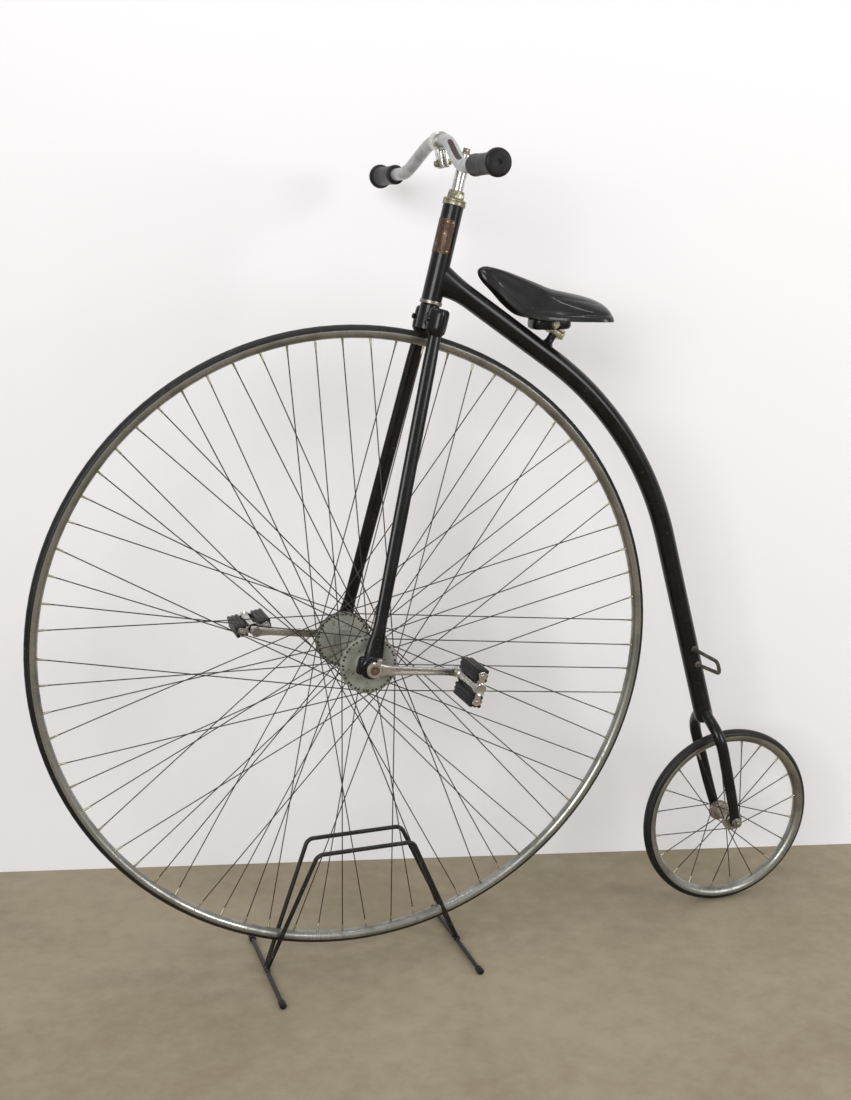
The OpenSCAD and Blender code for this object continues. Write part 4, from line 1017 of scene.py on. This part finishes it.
def backbone_line():
    """Middle of the backbone: a straight length, an arc of radius 667 and a straight length
    that ends above the rear wheel. Also gives the distance run at each point."""
    start = steer([0, 0, HEAD_S + 49])
    end = REAR + (REAR_R + 49) * np.array([-math.cos(TAIL), 0, math.sin(TAIL)])
    bend = FRONT_R + 42
    d0 = np.array([math.cos(FIRST), 0, -math.sin(FIRST)])
    d1 = np.array([math.cos(TAIL), 0, -math.sin(TAIL)])
    chord = bend * np.array([math.sin(TAIL) - math.sin(FIRST), 0,
                             math.cos(TAIL) - math.cos(FIRST)])
    span = end - start - chord
    first, last = np.linalg.solve(np.array([[d0[0], d1[0]], [d0[2], d1[2]]]), span[[0, 2]])
    arc = bend * (TAIL - FIRST)
    s = np.concatenate([np.linspace(0, 100, 26), np.linspace(104, first, 18)[1:],
                        np.linspace(first, first + arc, 46)[1:],
                        np.linspace(first + arc, first + arc + last, 30)[1:]])
    a = FIRST + (TAIL - FIRST) * np.clip((s - first) / arc, 0, 1)
    p = (start + np.minimum(s, first)[:, None] * d0
         + bend * np.stack([np.sin(a) - math.sin(FIRST), 0 * a, np.cos(a) - math.cos(FIRST)], -1)
         + np.maximum(0, s - first - arc)[:, None] * d1)
    return p, s, end, start + POST_RUN * d0, d1


BONE, BONE_S, BONE_END, POST_FOOT, BONE_LAST = backbone_line()


def backbone():
    """Backbone tube, flared where it meets the head: the half height above grows as a
    concave fillet and below it less."""
    s = BONE_S
    near = np.clip(1 - s / 84, 0, 1)
    up = 20.0 + 20 * near ** 2.2
    down = 20.0 + 10 * np.clip(1 - s / 70, 0, 1) ** 2
    wide = 20.0 - 2.5 * near ** 2
    path = np.concatenate([BONE, BONE[-1:] + BONE_LAST * np.array([[4.0], [8.0], [11.0], [12.5]])])
    tail = np.array([0.94, 0.82, 0.6, 0.3])
    up, down, wide = (np.concatenate([x, x[-1] * tail]) for x in (up, down, wide))
    rings = sweep(path, wide, down, Y, 48, 2.0, up)
    # near the head every ring leans until it lies along the head tube
    lean = math.radians(20) * np.append(np.clip(1 - s / 64, 0, 1), np.zeros(4))
    off = rings - path[:, None]
    c, t = np.cos(lean)[:, None], np.sin(lean)[:, None]
    x, z = off[..., 0].copy(), off[..., 2].copy()
    off[..., 0], off[..., 2] = x * c - z * t, x * t + z * c
    tube = Shape().tubes((path[:, None] + off)[1:])
    tube.piece("backbone_tube", "frame", "enamel_black", ENAMEL, 45, ["backbone"])


def rear_fork(side):
    """Rear blade: leaves the backbone's end sideways, turns over a round shoulder and runs
    down, flattening, to a drilled end."""
    fall = np.linalg.norm(BONE_END - REAR)
    rows = np.array([[2, -24], [10, -13], [20, -3], [32, 7], [44, 19], [54, 33], [60, 50],
                     [61, 72], [58.5, 112], [56, fall * 0.6], [52.5, fall * 0.8],
                     [DROPOUT, fall]])
    pts = hermite(rows, np.linspace(0, len(rows) - 1, 64))
    path = BONE_END + pts[:, 1:] * BONE_LAST + side * pts[:, :1] * Y
    run = pts[:, 1] / fall
    wide = 11.5 + 1.0 * rise((run + 0.05) / 0.12) - 1.0 * rise((run - 0.6) / 0.4)
    thin = 11.6 - 1.6 * rise(run / 0.3) - 5.0 * rise((run - 0.4) / 0.55)
    leg = Shape().tubes(sweep(path, wide, thin, X, 36, 2.1))
    leg.ring(along(DROPOUT, (AXLE_BORE, -5), (11, -5), (12, -4), (12, 4), (11, 5), (AXLE_BORE, 5)),
             REAR, side * Y, 40)
    leg.piece("rear_blade_" + hand(side), "frame", "enamel_black", ENAMEL, 40,
              ["rear_fork_" + hand(side)])


def bead(rows, base, axis, sides, swell, waves, lean=0.0):
    """Weld bead: a turned cone whose radius swells a little, waves times round it."""
    return lathe(rows, base, axis, sides,
                 wobble=lambda r, w, row: r * (1 + swell * np.cos(waves * w + lean * row[1])))


def mounting_step():
    """Bent rod loop on the left of the backbone, with a weld bead at each root."""
    out = unit(np.array([0.18, -1.0, -0.06]))
    top, low = (np.array([np.interp(BONE_S[-1] - back, BONE_S, BONE[:, i]) for i in range(3)])
                for back in (STEP_TOP, STEP_LOW))
    fall = unit(low - top)
    inset = 4.5 * fall
    corners = [top + 10 * out, top + STEP_OUT * out + inset, low + STEP_OUT * out - inset,
               low + 10 * out]
    loop = sweep(fine(rounded(corners, 9, 9), 5.0), 4.0, 4.0, np.cross(out, fall), 20)
    Shape().tubes(loop).piece("step_loop", "frame", "steel_dull", STEP, 50, ["step"])
    beads = Shape()
    for p in (top, low):
        rows = [(7.2, -2), (7.4, 0.4), (6.0, 2.2), (4.6, 3.4), (3.9, 3.8)]
        beads.tubes(bead(rows, p + 19.1 * out, out, 24, 0.05, 7), (True, False))
    beads.piece("step_welds", "frame", "steel_dull", STEP, 60)


def head_plate():
    """Thin blank plate round the front of the head tube: rounded corners, a raised lip and
    four rivets."""
    r, z0, h, corner = 19.5, HEAD_S + PLATE_UP, PLATE_H, 4
    z = np.concatenate([[0, 0.4, 0.9], np.linspace(1.5, h - 1.5, 44), [h - 0.9, h - 0.4, h]])
    line = steer(np.stack([0 * z, 0 * z, z0 + z], -1))
    near = np.clip(np.minimum(z, h - z) / corner, 0, 1)
    half = PLATE_HALF - (corner / r) * (1 - np.sqrt(1 - (1 - near) ** 2))
    plate = Shape().tubes(band_plate(line, BACK, math.pi, half, r + 0.75, r - 0.4, 64, 0.3))
    plate.piece("head_badge_blank", "frame", "plate_brass", PLATE, 50, ["head_plate"])
    rivets = Shape()
    for a in (math.radians(180 - 92), math.radians(180 + 92)):
        for z in (z0 + 5, z0 + h - 5):
            d = steer([math.cos(a), math.sin(a), 0]) - steer([0, 0, 0])
            rivets.button(2.2, 1.3, steer([0, 0, z]) + (r + 0.7) * d, d, 14, 4)
    rivets.piece("head_plate_rivets", "frame", "plate_brass", NIPPLE, 50)


def rear_axle_ends():
    """Washers, chamfered nuts and threaded stubs outside the rear fork."""
    ends = Shape()
    for side in (-1, 1):
        out = side * Y
        washer = [(AXLE_BORE, 0), (10.6, 0), (11, 0.4), (11, 1.6), (10.6, 2), (AXLE_BORE, 2)]
        ends.tubes(lathe(washer, REAR + (DROPOUT + 5) * out, out, 36))
        ends.tubes(nut(9.5, 7.0, REAR + (DROPOUT + 7) * out, out, 0.15))
        thread = [(5.0 - 0.35 * (i % 2), DROPOUT + 13 + 0.55 * i) for i in range(10)]
        ends.spun([(0, DROPOUT + 12)] + thread + [(3.9, DROPOUT + 19), (0, DROPOUT + 19)],
                  REAR, out, 28)
    far = DROPOUT + 12
    ends.spun([(0, -far), (4.98, -far), (4.98, far), (0, far)], REAR, Y, 32)
    ends.piece("rear_axle_set", "frame", "steel_dull", STEEL, 30, ["rear_axle"])


backbone()
rear_fork(-1)
rear_fork(1)
mounting_step()
head_plate()
rear_axle_ends()

# ---------------------------------------------------------------- saddle


def saddle():
    """Closed shell lofted from nose to tail. At each station the top is an arch
    z = skirt + (crown - skirt) (1 - |y/w|^p)^(1/q). Its lowest 9 mm stand out as a rolled
    band, soft creases follow the shoulders, and the underside is a shallow hollow."""
    # each row: place along the bicycle, half width, top and skirt, from the hub
    lines = np.array([
        [257, 3.0, 719, 714], [262, 9.0, 723, 706], [272, 13.5, 725.5, 695],
        [290, 17.5, 722.5, 678.5], [312, 21, 716.5, 656.5], [340, 26, 706.5, 636],
        [370, 35, 695.5, 627.5], [402, 49, 683.5, 624.5], [434, 63, 676.5, 623.5],
        [462, 72, 670.5, 623], [486, 75, 663.5, 622.5], [502, 71, 656, 622],
        [512, 60, 647, 621.5], [518, 42, 637, 621.5], [520.5, 20.0, 629.0, 622.0]])
    n, side = 96, 60
    stations = hermite(lines, np.linspace(0, len(lines) - 1, n))
    first, last = stations[0, 0], stations[-1, 0]
    u = np.linspace(-1, 1, side + 1)
    v = np.linspace(1, -1, 22)[1:-1]
    nx = np.sin(u * np.pi / 2)
    out = np.abs(nx)

    def bell(x, place, width):
        return np.exp(-((x - place) / width) ** 2)

    rings = []
    for x, w, top, skirt in stations:
        share = (x - first) / (last - first)
        power = 3.3 - 1.3 * rise((share - 0.1) / 0.5)
        z = skirt + (top - skirt) * (1 - out ** power) ** (1 / 1.85)
        h = z - skirt
        tall = min(1.0, (top - skirt) / 34)
        rolled = 1.9 * (1 - rise((h - 8) / 3.5)) - 1.2 * bell(h, 13, 2.2)
        crease = (-1.5 * bell(out, 0.62, 0.055) * rise((share - 0.5) / 0.12)
                  * rise((0.93 - share) / 0.1))
        wave = (0.8 * np.sin(share * 34 + 6 * out) * bell(share, 0.52, 0.09)
                * bell(out, 0.8, 0.14))
        nose = rise((share - 0.05) / 0.12) * rise((0.58 - share) / 0.15)
        push = rolled * tall - 2.2 * nose * bell(h / max(top - skirt, 1), 0.5, 0.2)
        ridge = 2.0 * nose * bell(out, 0.6, 0.13)
        arch = np.stack([np.full(side + 1, x), w * nx + np.sign(u) * push + nx * wave,
                         z + ridge + (crease + wave) * (1 - 0.6 * out)], -1)
        under = np.stack([np.full(len(v), x), w * v * 0.97,
                          skirt + (top - skirt) * 0.34 * (1 - v ** 2) + 1.0], -1)
        rings.append(np.concatenate([arch, under]))
    shell = Shape().tubes((np.array(rings) + GROUND)[:, ::-1])
    made = shell.piece("saddle_cover", "frame", "saddle_black", LEATHER, 70, ["saddle"])


def saddle_iron():
    """Under the saddle: a pressed bracket with a washer and a nut on each side, a cradle
    block under it, and two rails that run forward to the nose."""
    iron, bolts, foot = Shape(), Shape(), Shape()
    up = np.array([math.sin(FIRST), 0, math.cos(FIRST)])
    fore = np.array([math.cos(FIRST), 0, -math.sin(FIRST)])
    iron.tubes(slab(GROUND + np.array([403, 0, 619.5]), (X, Y, Z), (39, 27, 12), 8.0, 6, 15.0))
    for side in (-1, 1):
        path = np.array([[486, side * 50, 633], [462, side * 44, 631], [432, side * 34, 629],
                         [400, side * 26, 630], [356, side * 17, 646], [318, side * 10, 668],
                         [286, side * 5, 696.0]]) + GROUND
        t = np.linspace(0, 6, 40)
        path = np.stack([np.interp(t, np.arange(7), path[:, i]) for i in range(3)], -1)
        line, r = ball_ends(path, 3.2)
        iron.tubes(sweep(line, r, r, None, 16))
        iron.tubes(slab(GROUND + np.array([404, side * 27.5, 618.5]), (X, Z, -side * Y),
                        (13, 9, 2.2), 1.0, 3, 6.0))
        at = GROUND + np.array([404, side * 29.7, 618.5])
        bolts.spun([(0, 0), (8.4, 0), (8.4, 1.2), (0, 1.2)], at, side * Y, 30)
        bolts.tubes(nut(7.4, 5.2, at + side * 1.2 * Y, side * Y, 0.1))
    iron.piece("saddle_iron", "frame", "enamel_black", ENAMEL, 34, ["saddle_clamp"])
    cradle = GROUND + np.array([414.6, 0, 601.5])
    bolts.tubes(slab(cradle, (fore, Y, up), (17, 13, 6.5), 2.0, 3, 3.0))
    bolts.tubes(slab(cradle + 7.5 * up, (fore, Y, up), (14, 16, 3.5), 1.5, 3, 4.0))
    bolts.piece("saddle_bolt", "frame", "chrome_worn", PATINA, 30)
    rows = [(14.8, 15.5), (13.0, 19.0), (10.2, 21.6), (8.6, 24.6), (8.02, 28)]
    foot.tubes(lathe(rows, POST_FOOT, up, 40), (True, False))
    foot.piece("seat_post_weld", "frame", "enamel_black", ENAMEL, 60)


saddle()
saddle_iron()

# ---------------------------------------------------------------- stand


def stand():
    """Two bent rod hoops that pinch the wheel, weld beads on the foot bars, and moulded end
    caps."""
    rods, welds, caps = Shape(), Shape(), Shape()
    foot_z = box("stand_foot_front")[0][2] + HOOP_R
    top_y = box("stand_hoop_right")[1][1] - HOOP_R
    cap = along(FOOT_HALF, (HOOP_R, -20), (6.2, -20), (6.8, -19.3), (6.9, -15), (6.4, -13.5),
                (6.6, -12), (7.0, -8), (7.0, -3.4), (6.2, -1.2), (4.4, -0.2), (0, 0), (0, -1),
                (HOOP_R, -1))
    rows = [(6.8, -1.5), (7.0, 0.6), (6.2, 2.2), (5.2, 3.6), (4.4, 4.2)]
    for side in (-1, 1):
        foot = (HOOP_FOOT_X, side * HOOP_FOOT_Y, foot_z + HOOP_R)
        top = (HOOP_TOP_X, side * top_y, foot_z + HOOP_RISE)
        pts = [[HUB[0] + sx * x, y, z]
               for sx, (x, y, z) in ((-1, foot), (-1, top), (1, top), (1, foot))]
        path = fine(rounded(pts, 18.5, 9), 14.0)
        rods.tubes(sweep(path, HOOP_R, HOOP_R, Y, 20))
        for sx in (-1, 1):
            end = np.array([HUB[0] + sx * HOOP_FOOT_X, 0, foot_z])
            base = np.array([end[0], side * HOOP_FOOT_Y, foot_z + 3.2])
            d = unit(np.array([-sx * 106.0, side * (top_y - HOOP_FOOT_Y), 253.5]))
            welds.tubes(bead(rows, base, d, 20, 0.06, 5, 1.0), (True, False))
            caps.ring(cap, end, side * Y, 36)
    rods.piece("stand_hoops", "fork", "enamel_black", STAND, 50,
               ["stand_hoop_left", "stand_hoop_right"])
    welds.piece("stand_welds", "fork", "enamel_black", STAND, 60)
    caps.piece("stand_feet", "fork", "rubber_black", RUBBER, 40, ["stand_caps"])


stand()

# ---------------------------------------------------------------- stage, light and camera


def plain(name, color, rough):
    """A backdrop finish: the material, its node tree and its shader."""
    m = bpy.data.materials.new(name)
    m.use_nodes = True
    shader = m.node_tree.nodes["Principled BSDF"]
    shader.inputs["Base Color"].default_value = (*color, 1)
    shader.inputs["Roughness"].default_value = rough
    return m, m.node_tree, shader


def sheet(name, corners, material):
    """A flat backdrop with four corners."""
    mesh = bpy.data.meshes.new(name)
    mesh.from_pydata(corners, [], [(0, 1, 2, 3)])
    mesh.materials.append(material)
    o = bpy.data.objects.new(name, mesh)
    bpy.context.scene.collection.objects.link(o)


def floor():
    """Concrete: two browns mixed by a slow and a fine noise."""
    m, t, shader = plain("pale_floor", (0.47, 0.43, 0.35), 0.75)
    place = t.nodes.new("ShaderNodeTexCoord").outputs["Object"]
    big = noise(t, place, 1.3, 7.0, 0.62)
    small = noise(t, place, 22.0, 8.0, 0.7)
    ramp = t.nodes.new("ShaderNodeMix")
    ramp.data_type = "RGBA"
    ramp.inputs[6].default_value = (0.235, 0.192, 0.124, 1)
    ramp.inputs[7].default_value = (0.325, 0.276, 0.19, 1)
    both = math_node(t, "ADD", math_node(t, "MULTIPLY", big, 0.62),
                     math_node(t, "MULTIPLY", small, 0.38))
    t.links.new(band(t, both, 0.36, 0.64), ramp.inputs[0])
    t.links.new(ramp.outputs[2], shader.inputs["Base Color"])
    sheet("floor", [(-9, -9, 0), (9, -9, 0), (9, 9, 0), (-9, 9, 0)], m)


def wall():
    """One-sided pale wall behind the wheel: seen from its back it isn't there."""
    m, t, shader = plain("pale_wall", (0.88, 0.875, 0.9), 0.6)
    clear = t.nodes.new("ShaderNodeBsdfTransparent")
    mix = t.nodes.new("ShaderNodeMixShader")
    t.links.new(t.nodes.new("ShaderNodeNewGeometry").outputs["Backfacing"], mix.inputs[0])
    t.links.new(shader.outputs[0], mix.inputs[1])
    t.links.new(clear.outputs[0], mix.inputs[2])
    t.links.new(mix.outputs[0], t.nodes["Material Output"].inputs["Surface"])
    a = (HUB + np.array([-692, 696, 0])) / 1000
    b = (HUB + np.array([1285, 161, 0])) / 1000
    d = unit(b - a)
    a, b = a - 7 * d, b + 7 * d
    sheet("wall", [(a[0], a[1], 0), (b[0], b[1], 0), (b[0], b[1], 6), (a[0], a[1], 6)], m)


def lamp(name, place, target, size, power):
    data = bpy.data.lights.new(name, "AREA")
    data.shape, data.size, data.size_y = "RECTANGLE", size[0], size[1]
    data.energy = power
    o = bpy.data.objects.new(name, data)
    o.location = place
    o.rotation_euler = (Vector(target) - Vector(place)).to_track_quat("-Z", "Y").to_euler()
    bpy.context.scene.collection.objects.link(o)


def studio():
    """White surroundings, brighter to the camera than to the bicycle, and three lamps."""
    world = bpy.data.worlds.new("studio")
    bpy.context.scene.world = world
    world.use_nodes = True
    t = world.node_tree
    back = t.nodes["Background"]
    back.inputs["Color"].default_value = (1, 1, 1, 1)
    seen = t.nodes.new("ShaderNodeLightPath").outputs["Is Camera Ray"]
    level = math_node(t, "ADD", math_node(t, "MULTIPLY", seen, 0.52), 0.48)
    t.links.new(level, back.inputs["Strength"])
    lamp("overhead", (-0.4, -0.8, 3.9), (0, -0.1, 0.6), (3.4, 0.16), 24)
    lamp("front_left", (-2.8, -3.9, 2.4), (0.1, 0, 0.6), (2.4, 1.8), 118)
    lamp("front_right", (2.8, -3.7, 2.2), (0.3, 0, 0.6), (1.4, 2.0), 78)
    bpy.context.scene.view_settings.view_transform = "Standard"


def camera():
    yaw, pitch, roll = 0.3407, 0.3034, -0.0018
    sy, cy, sp, cp = math.sin(yaw), math.cos(yaw), math.sin(pitch), math.cos(pitch)
    forward = np.array([sy * cp, cy * cp, -sp])
    right = np.array([cy, -sy, 0.0])
    up = np.cross(right, forward)
    right, up = (right * math.cos(roll) + up * math.sin(roll),
                 -right * math.sin(roll) + up * math.cos(roll))
    place = (HUB + np.array([-700.7, -2658.6, 790.7])) / 1000
    data = bpy.data.cameras.new("camera")
    data.lens, data.sensor_width = 47.42, 36.0
    data.shift_x, data.shift_y = -0.0415, 0.1213
    o = bpy.data.objects.new("camera", data)
    rows = [[right[i], up[i], -forward[i], place[i]] for i in range(3)]
    o.matrix_world = Matrix(rows + [[0, 0, 0, 1]])
    bpy.context.scene.collection.objects.link(o)
    bpy.context.scene.camera = o


floor()
wall()
studio()
camera()
